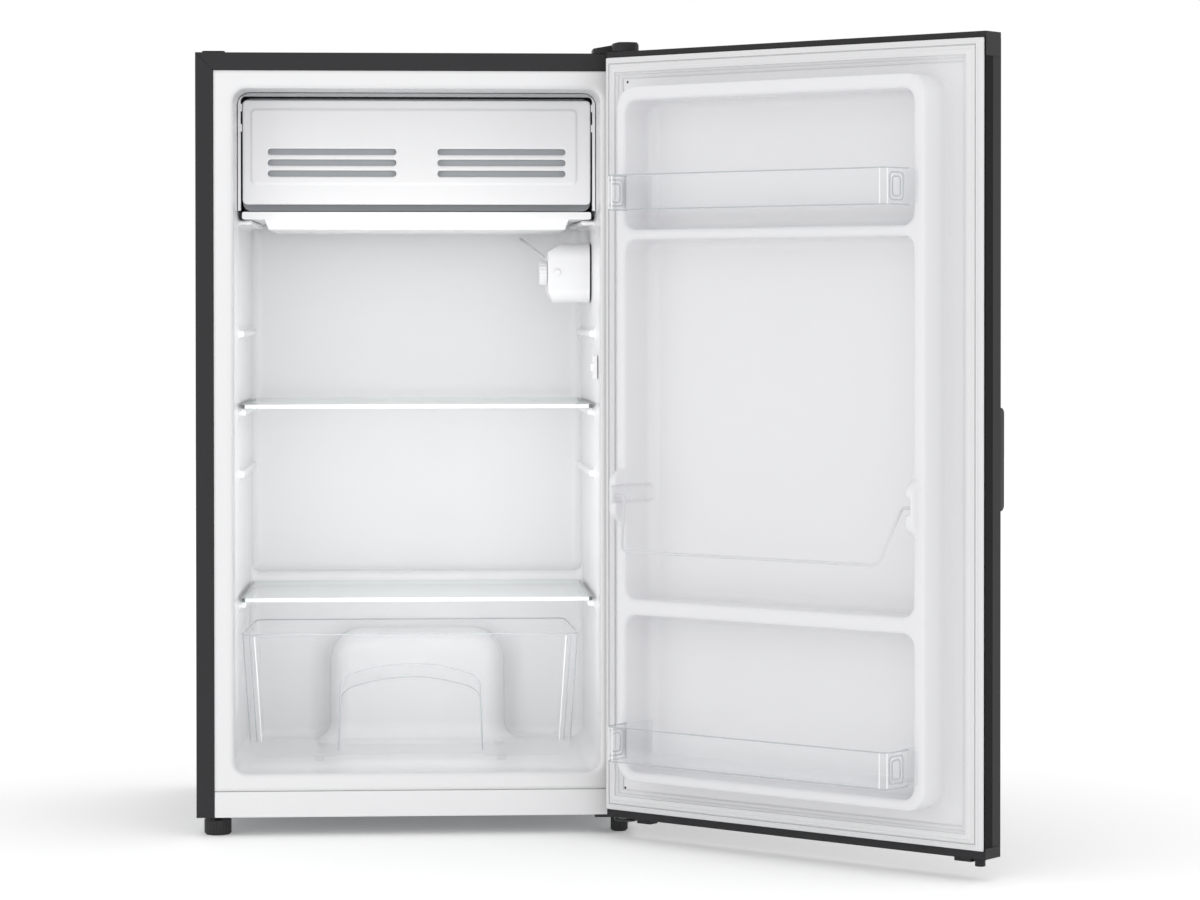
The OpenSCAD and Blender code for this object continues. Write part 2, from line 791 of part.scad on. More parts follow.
module top_hinge_cover() {
    z = cab_z1 + gap;
    rise = 9.4;
    color("#2f2f31") difference() {
        intersection() {
            along_y(-38, 40) polygon([
                [188.5, z], [235.8, z], [235.8, z + rise - 2.5], [233.4, z + rise],
                [213.5, z + rise], [188.5, z + 5]
            ]);
            along_z(z - 1, z + 20) {
                round_rect([188.5, -1], [235.8, 40], 4);
                rect([pivot_x - 14, pivot_y], [235.8, 10]);
                translate([pivot_x, pivot_y]) circle(13.8);
            }
        }
        along_z(z - 1, z + 3.4) {
            rect([190.5, 0.5], [234.6, 38]);
            rect([pivot_x - 11.6, pivot_y], [pivot_x + 11.6, 10]);
            translate([pivot_x, pivot_y]) circle(11.6);
        }
        for (p = top_screws)
            translate([p.x, p.y, z - 1]) cylinder(r = 5, h = p.x < 205 ? 6 : 6.5);
    }
}

module hinge_hole_cap()
    color("#2f2f31") along_z(cab_z1 + eps, cab_z1 + 1.8) round_rect([-229, 4], [-204.8, 34], 4);

module bottom_hinge_bracket()
    color("#2b2b2d") {
        z = cab_z0 - 2.6;
        difference() {
            along_z(z, z + 2.5) {
                rect([190, 0], [235, 44]);
                rect([pivot_x - 12, pivot_y], [pivot_x + 12, 4]);
                translate([pivot_x, pivot_y]) circle(12);
            }
            for (p = low_screws)
                translate([p.x, p.y, z - 1]) cylinder(r = 2.6, h = 5, $fn = 24);
            translate([right_foot_x, foot_y, z - 1]) cylinder(r = stem_hole_r, h = 5);
        }
        translate([pivot_x, pivot_y, z]) cylinder(r = pin_r, h = 16);
    }

module bottom_hinge_screws()
    color("#77797c") for (p = low_screws)
        translate([p.x, p.y, cab_z0 - 5]) {
            cylinder(r = 5, h = 2.2, $fn = 6);
            translate([0, 0, 2]) cylinder(r = 2.2, h = 7, $fn = 24);
        }

// A ribbed levelling foot with its threaded stem
module levelling_foot(r, h, stem) {
    cylinder(r = r - 1.5, h = 1.5);
    translate([0, 0, 1.5]) linear_extrude(h - 1.5) difference() {
        circle(r);
        for (i = [0 : 23])
            rotate(i * 15) translate([r + 0.5, 0]) circle(1.1, $fn = 16);
    }
    translate([0, 0, h - 0.5]) cylinder(r = foot_stem_r, h = stem);
}

module front_foot_left()
    color("#2a2a2b") translate([-foot_x, foot_y, 0]) levelling_foot(14.5, 16, 18);

module front_foot_right()
    color("#2a2a2b") translate([right_foot_x, foot_y, 0]) levelling_foot(9.3, 14.5, 18);

module rear_feet()
    color("#2a2a2b") both_sides() translate([foot_x, rear_foot_y, 0]) {
        cylinder(r = 12, h = cab_z0 + 1.8);
        cylinder(r = 5, h = cab_z0 + 6);
    }

// ---------------------------------------------------------------- door, drawn shut

cap_top = 6;
cap_low = 8;
skin_z0 = door_z0 + cap_low;
skin_z1 = door_z1 - cap_top;
skin_side = 15;
sheet = 0.9;
base_n = door_edge + liner_t;
bush_r = 6.5;
block_h = 16;
block_x0 = 206;
block_x1 = 233;

module door_skin()
    color("#3a3a3c") on_door() difference() {
        along_z(skin_z0, skin_z1) difference() {
            rect([-hw, door_y], [hw, door_y + skin_side]);
            rect([-hw + sheet, door_y + sheet], [hw - sheet, door_y + skin_side + 1]);
        }
        at_handle_screws() translate([0, 0, -3]) cylinder(r = 2.2, h = 6, $fn = 24);
    }

module door_side_trims()
    color("#454547") on_door() both_sides() along_z(skin_z0, skin_z1) {
        rect([hw - 1.6, door_y + skin_side + gap], [hw, door_y + door_edge - gap]);
        rect([hw - 12, door_y + door_edge - gap - 1.5], [hw, door_y + door_edge - gap]);
    }

// End cap with a bush housing at each end and a thin skirt over each side of the skin
module door_cap(z0, z1, inner0, inner1, skirt0, skirt1) {
    difference() {
        union() {
            along_z(z0, z1) rect([-hw, door_y], [hw, door_y + door_edge - gap]);
            both_sides() {
                along_z(inner0, inner1) rect([block_x0, door_y + 2], [block_x1, door_y + door_edge - 3]);
                along_z(skirt0, skirt1) rect([hw, door_y + 2], [hw + 0.8, door_y + door_edge - gap]);
                along_z(z0, z1) rect([hw - 1, door_y + 2], [hw + 0.8, door_y + door_edge - gap]);
            }
        }
        both_sides() translate([pivot_x, pivot_y, 0]) cylinder(r = bush_r, h = 900);
    }
}

module door_top_cap()
    color("#39393b") on_door()
        door_cap(skin_z1, door_z1, skin_z1 - block_h, skin_z1 + eps, skin_z1 - 18, door_z1);

module door_bottom_cap()
    color("#39393b") on_door()
        door_cap(door_z0, skin_z0, skin_z0 - eps, skin_z0 + block_h, door_z0, skin_z0 + 3);

// Plastic bushes for the hinge pins at the hinge side
module door_bushes()
    color("#d9d9d9") on_door() translate([pivot_x, pivot_y, 0]) {
        difference() {
            translate([0, 0, door_z1 - 20]) cylinder(r = bush_r - 0.02, h = 20 - 0.2);
            translate([0, 0, door_z1 - 16]) cylinder(r = pin_r + 0.05, h = 20);
        }
        difference() {
            union() {
                translate([0, 0, door_z0 - 1.6]) cylinder(r = 8.5, h = 1.6 - eps);
                translate([0, 0, door_z0 - 1.6]) cylinder(r = bush_r - 0.02, h = 20);
            }
            translate([0, 0, door_z0 - 3]) cylinder(r = pin_r + 0.05, h = 16);
        }
    }

// Stop block and plug that fill the spare hinge place at the free side
module door_stop_plug()
    color("#2c2c2e") on_door() {
        along_z(door_z0 - 5, door_z0 - eps) {
            rect([-216, door_y + 9], [-196, door_y + 22]);
            rect([184, door_y + 9], [202, door_y + 22]);
        }
        translate([-pivot_x, pivot_y, 0]) {
            translate([0, 0, door_z0 - 9]) cylinder(r = 5.2, h = 9 - eps);
            translate([0, 0, door_z0 - 3]) cylinder(r = bush_r - 0.05, h = 14);
            translate([0, 0, door_z1 - 14]) cylinder(r = bush_r - 0.05, h = 14);
        }
    }

rim_hw = 191.5;
rim_foot_hw = 197;
rim_z0 = 69.5;
rim_z1 = 796;
pocket_hw = 180;
pocket_floor_hw = 173;
pocket_r = 14;
// Lower and upper edges of the three pockets in the door liner
pockets = [[80, 244], [260.5, 636.5], [646.5, 781.5]];
boss_z = 369;
boss_n = 88;

// The raised rim's outer form, grown outwards by t
module rim_form(t = 0) {
    n0 = door_y + base_n - 4;
    n1 = door_y + rim_n + t;
    intersection() {
        along_z(0, cab_z1) polygon([
            [-rim_foot_hw - t, n0], [-rim_hw - t, n1], [rim_hw + t, n1], [rim_foot_hw + t, n0]
        ]);
        along_x(-hw, hw) polygon([
            [n0, rim_z0 - 5 - t], [n1, rim_z0 - t], [n1, rim_z1 + t], [n0, rim_z1 + 5 + t]
        ]);
        along_y(n0, n1) round_rect(
            [-rim_foot_hw - t, rim_z0 - 5 - t], [rim_foot_hw + t, rim_z1 + 5 + t], 24 + t
        );
    }
}

// One pocket between the rims, grown outwards by t
module pocket_form(z0, z1, t = 0) {
    n0 = door_y + base_n - t;
    n1 = door_y + rim_n + 30;
    k = (pocket_hw - pocket_floor_hw) / (rim_n - base_n);
    out = k * 30;
    intersection() {
        along_z(0, cab_z1) polygon([
            [-pocket_floor_hw - t, n0], [-pocket_hw - out - t, n1],
            [pocket_hw + out + t, n1], [pocket_floor_hw + t, n0]
        ]);
        along_y(n0, n1) round_rect([-pocket_hw - out - t, z0 - t], [pocket_hw + out + t, z1 + t], pocket_r);
    }
}

module all_pockets(t = 0)
    for (p = pockets)
        pocket_form(p[0], p[1], t);

// Raised seats on the rim that hold the bottle wire's ends
module wire_bosses()
    both_sides() along_x(pocket_hw - 1, rim_hw - 3) polygon([
        [door_y + rim_n - liner_t, boss_z - 31], [door_y + boss_n, boss_z - 20],
        [door_y + boss_n, boss_z + 20], [door_y + rim_n - liner_t, boss_z + 31]
    ]);

module wire_axis(r)
    along_x(-rim_hw - 5, rim_hw + 5) translate([door_y + wire_n, boss_z]) circle(r, $fn = 24);

module door_liner() {
    n0 = door_y + door_edge;
    n1 = door_y + base_n;
    inner = hw - 0.7;
    color("#f5f5f5") on_door() difference() {
        union() {
            difference() {
                union() {
                    rim_form();
                    box([-inner, n0, skin_z0 + 0.3], [inner, n1, skin_z1 - 0.3]);
                }
                difference() {
                    rim_form(-liner_t);
                    all_pockets(liner_t);
                }
                all_pockets();
                box([-hw, n0 - 20, 0], [hw, n0, cab_z1]);
            }
            wire_bosses();
        }
        wire_axis(wire_r + 0.08);
    }
}

module door_foam() {
    n0 = door_y + 1;
    n1 = door_y + door_edge - gap;
    color("#e8dfb8") on_door() difference() {
        union() {
            box([-hw + 2, n0 + gap, skin_z0 + 1], [hw - 2, n1 - 1.8, skin_z1 - 1]);
            difference() {
                rim_form(-liner_t - gap);
                all_pockets(liner_t + gap);
            }
            box([-200, n1 - 4, 60], [200, n1, 800]);
        }
        both_sides() {
            box([block_x0 - 1, n0, 0], [hw, n1 + 1, skin_z0 + block_h + 1]);
            box([block_x0 - 1, n0, skin_z1 - block_h - 1], [hw, n1 + 1, 900]);
        }
        box([-hw, n0, handle_z0], [-204, n0 + 12, handle_z1]);
    }
}

// Three bellows of the magnetic seal, each set in from the one below
module door_gasket() {
    n0 = door_y + base_n + eps;
    layer = (-slack - n0) / 3;
    inset = [1, 5, 11];
    inner = 20;
    color("#efefef") on_door() for (i = [0 : 2])
        along_y(n0 + i * layer, n0 + (i + 1) * layer) difference() {
            x = hw - inset[i];
            rect([-x, skin_z0 + inset[i]], [x, skin_z1 - inset[i]]);
            rect([-hw + inner, skin_z0 + inner], [hw - inner, skin_z1 - inner]);
        }
}

handle_z0 = 363;
handle_z1 = 466;
handle_x = -220.5;
handle_grip = 22;

// Pull handle on the front sheet near the free edge
module door_handle()
    color("#1f1f21") on_door() difference() {
        along_x(handle_x - 6, handle_x + 6) difference() {
            round_rect([door_y - handle_grip, handle_z0], [door_y + 6, handle_z1], 6);
            rect([door_y - eps, handle_z0 - 1], [door_y + 7, handle_z1 + 1]);
            round_rect([door_y - handle_grip + 7, handle_z0 + 14], [door_y + 6, handle_z1 - 14], 5);
        }
        at_handle_screws() cylinder(r = 2.05, h = 9, $fn = 24);
    }

// Screws from inside the door's skin into the handle's two legs, each drawn along +z
module at_handle_screws()
    for (z = [handle_z0 + 7, handle_z1 - 7])
        translate([handle_x, door_y + sheet + gap, z]) rotate([90, 0, 0]) children();

module handle_screws()
    color("#c9cccf") on_door() at_handle_screws() {
        translate([0, 0, -2.4]) cylinder(r = 4, h = 2.4);
        cylinder(r = 2, h = 8, $fn = 24);
    }

// ---------------------------------------------------------------- things held by the door

// A clear rack: front, ends, floor and the lips that sit on the rim
module door_rack(z) {
    t = 2.4;
    x = rack_w / 2;
    n0 = door_y + base_n + 6;
    n1 = door_y + rack_n;
    on_rim = door_y + rim_n + slack;
    color("#e3f0f4", 0.45) on_door() {
        difference() {
            along_z(z, z + rack_h) round_rect([-x, on_rim], [x, n1], 10);
            along_z(z + t, z + rack_h + 1) round_rect([-x + t, on_rim + t], [x - t, n1 - t], 7.6);
            box([-x + t, on_rim - 1, z + t], [x - t, on_rim + 14, z + rack_h + 1]);
            box([-x - 1, on_rim - 1, z - 1], [-x + 12, on_rim + 1, z + rack_h + 1]);
            box([x - 12, on_rim - 1, z - 1], [x + 1, on_rim + 1, z + rack_h + 1]);
        }
        along_z(z, z + t) rect([-x + 6, n0], [x - 6, on_rim + 2]);
        both_sides() {
            along_z(z, z + rack_h) rect([x - t - 4, n0], [x - 4, on_rim + 1 + t]);
            along_z(z + 2, z + rack_h - 2) rect([x - 6, on_rim], [x + 10, on_rim + t]);
            along_z(z, z + rack_h) rect([x - t - 4, on_rim], [x, on_rim + t + 1]);
        }
    }
}

module rack_top() door_rack(rack_top_z);

module rack_bottom() door_rack(rack_low_z);

wire_n = 80.5;
wire_r = 1.6;
wire_drop = 56;
wire_out = 22;
wire_hw = 172.5;
wire_low_hw = 160;

module bottle_wire() {
    top = [wire_hw, door_y + wire_n, boss_z];
    low = [wire_low_hw, door_y + wire_n + wire_out, boss_z - wire_drop];
    end = [rim_hw - 5, door_y + wire_n, boss_z];
    flip = function(p) [-p.x, p.y, p.z];
    color("#dcdcdc") on_door()
        tube_run([flip(end), flip(top), flip(low), low, top, end], wire_r);
}

outer_shell();
bottom_rail();
inner_liner();
insulation();
base_pan();
back_panel();
back_panel_screws();
compressor_bay();
compressor_base();
compressor();
compressor_grommets();
compressor_bolts();
relay_cover();
filter_dryer();
discharge_tube();
suction_tube();
condenser_tube();
evaporating_pan();
cord_gland();
evaporator();
control_housing();
thermostat();
lamp();
housing_screw();
thermostat_knob();
sensor_tube();
switch_housing();
switch_button();
drip_tray();
freezer_flap();
flap_back_sheet();
freezer_frame();
upper_shelf();
crisper_cover();
crisper_drawer();
top_hinge_bracket();
top_hinge_screws();
top_hinge_cover();
hinge_hole_cap();
bottom_hinge_bracket();
bottom_hinge_screws();
front_foot_left();
front_foot_right();
rear_feet();
door_skin();
door_side_trims();
door_top_cap();
door_bottom_cap();
door_bushes();
door_stop_plug();
door_liner();
door_foam();
door_gasket();
door_handle();
handle_screws();
rack_top();
rack_bottom();
bottle_wire();
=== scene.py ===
import json
import math

import bmesh
import bpy
import numpy as np
from mathutils import Euler, Matrix, Vector

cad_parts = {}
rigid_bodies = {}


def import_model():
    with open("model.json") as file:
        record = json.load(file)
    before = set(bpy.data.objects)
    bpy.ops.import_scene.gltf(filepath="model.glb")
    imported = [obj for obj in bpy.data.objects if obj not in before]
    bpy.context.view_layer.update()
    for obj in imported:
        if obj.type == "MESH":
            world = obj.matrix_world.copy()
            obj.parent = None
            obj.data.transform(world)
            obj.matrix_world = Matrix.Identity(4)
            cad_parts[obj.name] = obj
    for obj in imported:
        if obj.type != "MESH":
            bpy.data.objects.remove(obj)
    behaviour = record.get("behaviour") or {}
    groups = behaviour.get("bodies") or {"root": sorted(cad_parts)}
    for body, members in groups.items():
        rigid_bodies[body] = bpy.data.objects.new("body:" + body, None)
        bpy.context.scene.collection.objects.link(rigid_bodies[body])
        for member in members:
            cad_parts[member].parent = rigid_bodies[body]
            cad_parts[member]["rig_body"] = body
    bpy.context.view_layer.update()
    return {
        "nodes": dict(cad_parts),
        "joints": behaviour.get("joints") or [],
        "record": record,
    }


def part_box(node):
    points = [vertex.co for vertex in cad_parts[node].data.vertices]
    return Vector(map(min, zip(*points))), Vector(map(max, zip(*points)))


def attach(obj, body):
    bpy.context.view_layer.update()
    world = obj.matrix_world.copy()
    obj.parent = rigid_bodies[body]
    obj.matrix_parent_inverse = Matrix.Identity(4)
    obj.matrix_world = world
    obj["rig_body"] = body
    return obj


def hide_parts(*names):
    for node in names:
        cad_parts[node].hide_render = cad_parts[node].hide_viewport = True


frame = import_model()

MM = 0.001
hinge = {joint["name"]: joint for joint in frame["joints"]}["door_hinge"]
DOOR_OPEN = -math.radians(hinge["range_deg"][0])
HINGE = Vector(hinge["pos_m"])
OPEN_DOOR = Matrix.Translation(HINGE) @ Matrix.Rotation(DOOR_OPEN, 4, "Z") @ Matrix.Translation(-HINGE)
SLOTS = {part["node"]: part["material_slot"] for part in frame["record"]["subparts"]}


def node_box(node):
    """Lowest and highest corners of a CAD node, in millimetres."""
    low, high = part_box(node)
    return np.array(low) / MM, np.array(high) / MM


# ---------------------------------------------------------------- camera and light

CAMERA_PLACE = (-0.006, -3.724, 0.5705)
# Degrees that the camera looks down, leans and turns
CAMERA_DOWN, CAMERA_LEAN, CAMERA_TURN = 0.73, 0.03, -3.10
CAMERA_LENS = 104.34
CAMERA_SHIFT = -0.0858

# Name, place, target, width, height and power of the strips in the studio, and of the soft
# lights in the cabinet's two rooms
STRIPS = [
    ("left_strip", (-1.5, -2.0, 0.9), (0.0, 0.0, 0.45), 0.10, 1.4, 1.5),
    ("right_strip", (1.9, -2.2, 0.9), (0.3, -0.1, 0.45), 0.10, 1.4, 1.5),
]
FILLS = [
    ("interior_fill", (0.0, 0.02, 0.385), (0.0, 0.3, 0.39), 0.36, 0.52, 0.57),
    ("freezer_fill", (0.0, 0.0885, 0.735), (0.0, 0.3, 0.735), 0.36, 0.10, 0.03),
]
FLOOR_HALF = 9.0


def make_camera():
    data = bpy.data.cameras.new("camera")
    camera = bpy.data.objects.new("camera", data)
    bpy.context.scene.collection.objects.link(camera)
    camera.location = CAMERA_PLACE
    angles = [math.radians(a) for a in (90 - CAMERA_DOWN, CAMERA_LEAN, CAMERA_TURN)]
    camera.rotation_euler = Euler(angles, "XYZ")
    data.sensor_width = 36.0
    data.lens = CAMERA_LENS
    data.shift_y = CAMERA_SHIFT
    data.clip_start = 0.05
    bpy.context.scene.camera = camera


def area_light(name, place, target, size, size_y, power):
    data = bpy.data.lights.new(name, "AREA")
    data.energy = power
    data.shape = "RECTANGLE"
    data.size = size
    data.size_y = size_y
    lamp = bpy.data.objects.new(name, data)
    bpy.context.scene.collection.objects.link(lamp)
    lamp.location = place
    lamp.rotation_euler = (Vector(target) - Vector(place)).to_track_quat("-Z", "Y").to_euler()
    lamp.visible_camera = False
    return lamp


def make_studio():
    world = bpy.data.worlds.new("studio")
    bpy.context.scene.world = world
    world.use_nodes = True
    sky = world.node_tree.nodes["Background"]
    sky.inputs["Color"].default_value = (1.0, 1.0, 1.0, 1.0)
    sky.inputs["Strength"].default_value = 1.0
    for strip in STRIPS:
        area_light(*strip)
    for fill in FILLS:
        lamp = area_light(*fill)
        lamp.visible_glossy = False
        lamp.visible_transmission = False
    bpy.context.scene.view_settings.view_transform = "Standard"


def make_floor():
    mesh = bpy.data.meshes.new("studio_floor")
    corners = [(x * FLOOR_HALF, y * FLOOR_HALF, 0) for x, y in ((-1, -1), (1, -1), (1, 1), (-1, 1))]
    mesh.from_pydata(corners, [], [(0, 1, 2, 3)])
    floor = bpy.data.objects.new("studio_floor", mesh)
    bpy.context.scene.collection.objects.link(floor)
    paper = paint("floor_paper", (0.975, 0.975, 0.975), 0.9, grain=900, bump=0.01, mottle=0.0,
                  Emission_Color=(1.0, 1.0, 1.0, 1.0), Emission_Strength=0.13)
    mesh.materials.append(paper)


# ---------------------------------------------------------------- materials

RELIEF_DEPTH = 0.4 * MM
# Size and detail of the slow change over a surface, and detail of its fine grain
SLOW_SCALE, SLOW_DETAIL, GRAIN_DETAIL = 7.0, 4.0, 3.0
SEAM_HALF_WIDTH = 0.5


def hexa(code):
    """Linear colour of an sRGB hex code."""
    parts = [int(code[i:i + 2], 16) / 255 for i in (0, 2, 4)]
    return tuple(p / 12.92 if p <= 0.04045 else ((p + 0.055) / 1.055) ** 2.4 for p in parts)


def noise(tree, place, scale, detail):
    node = tree.nodes.new("ShaderNodeTexNoise")
    node.inputs["Scale"].default_value = scale
    node.inputs["Detail"].default_value = detail
    tree.links.new(place, node.inputs["Vector"])
    return node.outputs["Fac"]


def paint(name, color, rough, metal=0.0, grain=600, bump=0.05, spread=0.06, mottle=0.03,
          stretch=(1, 1, 1), **fixed):
    """A surface with a fine grain in its relief, and a slow change in its gloss and colour."""
    mat = bpy.data.materials.new(name)
    mat.use_nodes = True
    tree = mat.node_tree
    shader = tree.nodes["Principled BSDF"]
    shader.inputs["Metallic"].default_value = metal
    for socket, value in fixed.items():
        shader.inputs[socket.replace("_", " ")].default_value = value
    place = tree.nodes.new("ShaderNodeTexCoord")
    scale = tree.nodes.new("ShaderNodeMapping")
    scale.inputs["Scale"].default_value = stretch
    tree.links.new(place.outputs["Object"], scale.inputs["Vector"])
    fine = noise(tree, scale.outputs["Vector"], grain, GRAIN_DETAIL)
    slow = noise(tree, scale.outputs["Vector"], SLOW_SCALE, SLOW_DETAIL)
    relief = tree.nodes.new("ShaderNodeBump")
    relief.inputs["Strength"].default_value = bump
    relief.inputs["Distance"].default_value = RELIEF_DEPTH
    tree.links.new(fine, relief.inputs["Height"])
    tree.links.new(relief.outputs["Normal"], shader.inputs["Normal"])
    gloss = tree.nodes.new("ShaderNodeMapRange")
    gloss.inputs["To Min"].default_value = max(rough - spread, 0.02)
    gloss.inputs["To Max"].default_value = min(rough + spread, 1.0)
    tree.links.new(slow, gloss.inputs["Value"])
    tree.links.new(gloss.outputs["Result"], shader.inputs["Roughness"])
    tone = tree.nodes.new("ShaderNodeMix")
    tone.data_type = "RGBA"
    tone.inputs["A"].default_value = (*[c * (1 - mottle) for c in color], 1)
    tone.inputs["B"].default_value = (*[min(c * (1 + mottle), 1) for c in color], 1)
    tree.links.new(slow, tone.inputs["Factor"])
    tree.links.new(tone.outputs["Result"], shader.inputs["Base Color"])
    return mat


def calc(tree, operation, *values):
    """Output of a math node; a value is a number or another node's output."""
    node = tree.nodes.new("ShaderNodeMath")
    node.operation = operation
    for socket, value in zip(node.inputs, values):
        if isinstance(value, (int, float)):
            socket.default_value = value
        else:
            tree.links.new(value, socket)
    return node.outputs[0]


def clear(name, color, rough, face, edge, ior=1.45, grain=120, bump=0.02):
    """See-through plastic or glass with slight waves in its surface, denser where it is seen edge-on."""
    mat = paint(name, color, rough, grain=grain, bump=bump, spread=0.01, mottle=0.0, IOR=ior)
    tree = mat.node_tree
    weight = tree.nodes.new("ShaderNodeLayerWeight")
    weight.inputs["Blend"].default_value = 0.5
    steep = calc(tree, "POWER", weight.outputs["Facing"], 2.5)
    alpha = calc(tree, "MULTIPLY_ADD", steep, edge - face, face)
    tree.links.new(alpha, tree.nodes["Principled BSDF"].inputs["Alpha"])
    return mat


def surface_place(tree):
    """Outputs with the surface point's three coordinates in millimetres."""
    place = tree.nodes.new("ShaderNodeTexCoord")
    split = tree.nodes.new("ShaderNodeSeparateXYZ")
    tree.links.new(place.outputs["Object"], split.inputs[0])
    return [calc(tree, "MULTIPLY", split.outputs[i], 1 / MM) for i in range(3)]


def darken(mat, mask, color):
    """Gives the surface another colour where the mask is 1."""
    tree = mat.node_tree
    base = tree.nodes["Principled BSDF"].inputs["Base Color"]
    mix = tree.nodes.new("ShaderNodeMix")
    mix.data_type = "RGBA"
    tree.links.new(base.links[0].from_socket, mix.inputs["A"])
    mix.inputs["B"].default_value = (*color, 1)
    tree.links.new(mask, mix.inputs["Factor"])
    tree.links.new(mix.outputs["Result"], base)


def shell_paint():
    """The cabinet's paint, with the hairline seams at the mitred top corners of its front."""
    mat = paint("shell_steel", hexa("2a2a2c"), 0.45, grain=1400, bump=0.06, spread=0.05,
                Specular_IOR_Level=0.3)
    low, high = node_box("outer_shell")
    tree = mat.node_tree
    x, y, z = surface_place(tree)
    across = calc(tree, "SUBTRACT", high[0], calc(tree, "ABSOLUTE", x))
    down = calc(tree, "SUBTRACT", high[2], z)
    off = calc(tree, "ABSOLUTE", calc(tree, "SUBTRACT", across, down))
    seam = calc(tree, "LESS_THAN", off, SEAM_HALF_WIDTH)
    front = calc(tree, "LESS_THAN", y, low[1] + 0.5)
    darken(mat, calc(tree, "MULTIPLY", seam, front), hexa("0b0b0b"))
    return mat


def door_paint(color):
    """The door liner's plastic, with two small dark disks in its hinge-side flange, painted as the shade
    inside screw holes.
    """
    mat = paint("door_white", color, 0.24, grain=160, bump=0.03, mottle=0.008)
    tree = mat.node_tree
    here = surface_place(tree)
    for spot in HOLE_SHADE_SPOTS:
        parts = [calc(tree, "POWER", calc(tree, "SUBTRACT", here[i], spot[i]), 2.0) for i in range(3)]
        far = calc(tree, "ADD", calc(tree, "ADD", parts[0], parts[1]), parts[2])
        # A dark disk at each hole: painted shade
        darken(mat, calc(tree, "LESS_THAN", far, HOLE_SHADE_R ** 2), hexa("2a2a2a"))
    return mat


def make_materials():
    white = hexa("ececed")
    return {
        "dark_steel": paint("dark_steel", hexa("2a2a2c"), 0.45, grain=1400, bump=0.06, spread=0.05,
                            Specular_IOR_Level=0.3),
        "door_steel": paint("door_steel", hexa("1e1e20"), 0.42, grain=1400, bump=0.06, spread=0.05,
                            Specular_IOR_Level=0.25),
        "door_trim": paint("door_trim", hexa("101011"), 0.42, grain=1400, bump=0.06, spread=0.05,
                           Specular_IOR_Level=0.08),
        "white_plastic": paint("white_plastic", white, 0.24, grain=160, bump=0.03, mottle=0.008),
        "door_white": door_paint(hexa("e5e5e7")),
        "shell_steel": shell_paint(),
        "white_matte": paint("white_matte", hexa("e2e2e3"), 0.45, grain=900, bump=0.06, mottle=0.008),
        "dark_plastic": paint("dark_plastic", hexa("242426"), 0.5, grain=1600, bump=0.12,
                              Specular_IOR_Level=0.3),
        "black_plastic": paint("black_plastic", hexa("17171a"), 0.42, grain=1600, bump=0.1),
        "galvanised": paint("galvanised", hexa("a9adb0"), 0.42, metal=1.0, grain=90, bump=0.02, spread=0.14,
                            mottle=0.10),
        "foam": paint("foam", hexa("dcd2a4"), 0.95, grain=420, bump=0.6, mottle=0.12),
        "black_paint": paint("black_paint", hexa("161618"), 0.28, grain=300, bump=0.05),
        "rubber_black": paint("rubber_black", hexa("1b1b1c"), 0.75, grain=900, bump=0.2),
        "copper": paint("copper", hexa("b9714a"), 0.32, metal=1.0, grain=500, bump=0.05, mottle=0.15),
        "aluminium": paint("aluminium", hexa("b9bcc0"), 0.45, metal=0.4, grain=300, bump=0.06, spread=0.1,
                           stretch=(1, 12, 1)),
        "glass": clear("glass", hexa("eef6f3"), 0.02, 0.08, 0.40, grain=25, bump=0.01),
        # The glass shelf's edge tint, painted lighter on its front and back edges and darker on its side
        # edges: painted light and shade
        "glass_rim_lit": paint("glass_rim_lit", hexa("dde3e1"), 0.3, grain=700, bump=0.05, mottle=0.02),
        "glass_rim_shaded": paint("glass_rim_shaded", hexa("6d7371"), 0.3, grain=700, bump=0.05, mottle=0.02),
        "clear_plastic": clear("clear_plastic", hexa("f2f5f7"), 0.05, 0.05, 0.35, ior=1.5),
        # Grey, nearly opaque rods along the clear plastics' rims and corner roundings: the rims are real,
        # their grey is painted shade of clear plastic seen edge-on
        "edge_shade_paint": paint("edge_shade_paint", hexa("c2c6c9"), 0.12, grain=300, bump=0.03, mottle=0.02,
                              Alpha=0.8),
        # Near-white rods on the clear racks and drawer: painted highlights
        "highlight_paint": paint("highlight_paint", hexa("fbfcfc"), 0.10, grain=300, bump=0.03, mottle=0.0),
        # Grey for the freezer frame's top bar: painted shade
        "frame_bar_shade": paint("frame_bar_shade", hexa("b4b6b8"), 0.5, grain=700, bump=0.05),
        "lamp_glass": paint("lamp_glass", hexa("fff3d8"), 0.5, grain=500, bump=0.05),
        "gasket": paint("gasket", hexa("e0e0e1"), 0.55, grain=1200, bump=0.08, mottle=0.01),
        "wire": paint("wire", hexa("d6d6d8"), 0.35, grain=900, bump=0.05, mottle=0.01),
        "foot_plastic": paint("foot_plastic", hexa("1f1f20"), 0.5, grain=1500, bump=0.15),
    }


# ---------------------------------------------------------------- pieces

def add_piece(name, mesh, body, nodes, slot, material=None, on_door=False):
    """Puts a mesh in metres into the scene, riding on a body and standing for CAD nodes."""
    piece = bpy.data.objects.new(name, mesh)
    bpy.context.scene.collection.objects.link(piece)
    if on_door:
        mesh.transform(OPEN_DOOR)
    if not mesh.materials:
        mesh.materials.append(material or MATERIALS[slot])
    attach(piece, body)
    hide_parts(*nodes)
    return piece


def bent(corners, bends):
    """The path through the corners in millimetres, each rounded over its own length."""
    path = []
    count = len(corners)
    steps = 8
    for i, corner in enumerate(corners):
        p = Vector(corner)
        if bends[i] == 0:
            path.append(p)
            continue
        before = (Vector(corners[i - 1]) - p).normalized() * bends[i]
        after = (Vector(corners[(i + 1) % count]) - p).normalized() * bends[i]
        for step in range(steps + 1):
            t = step / steps
            path.append((1 - t) ** 2 * (p + before) + 2 * t * (1 - t) * p + t ** 2 * (p + after))
    return path


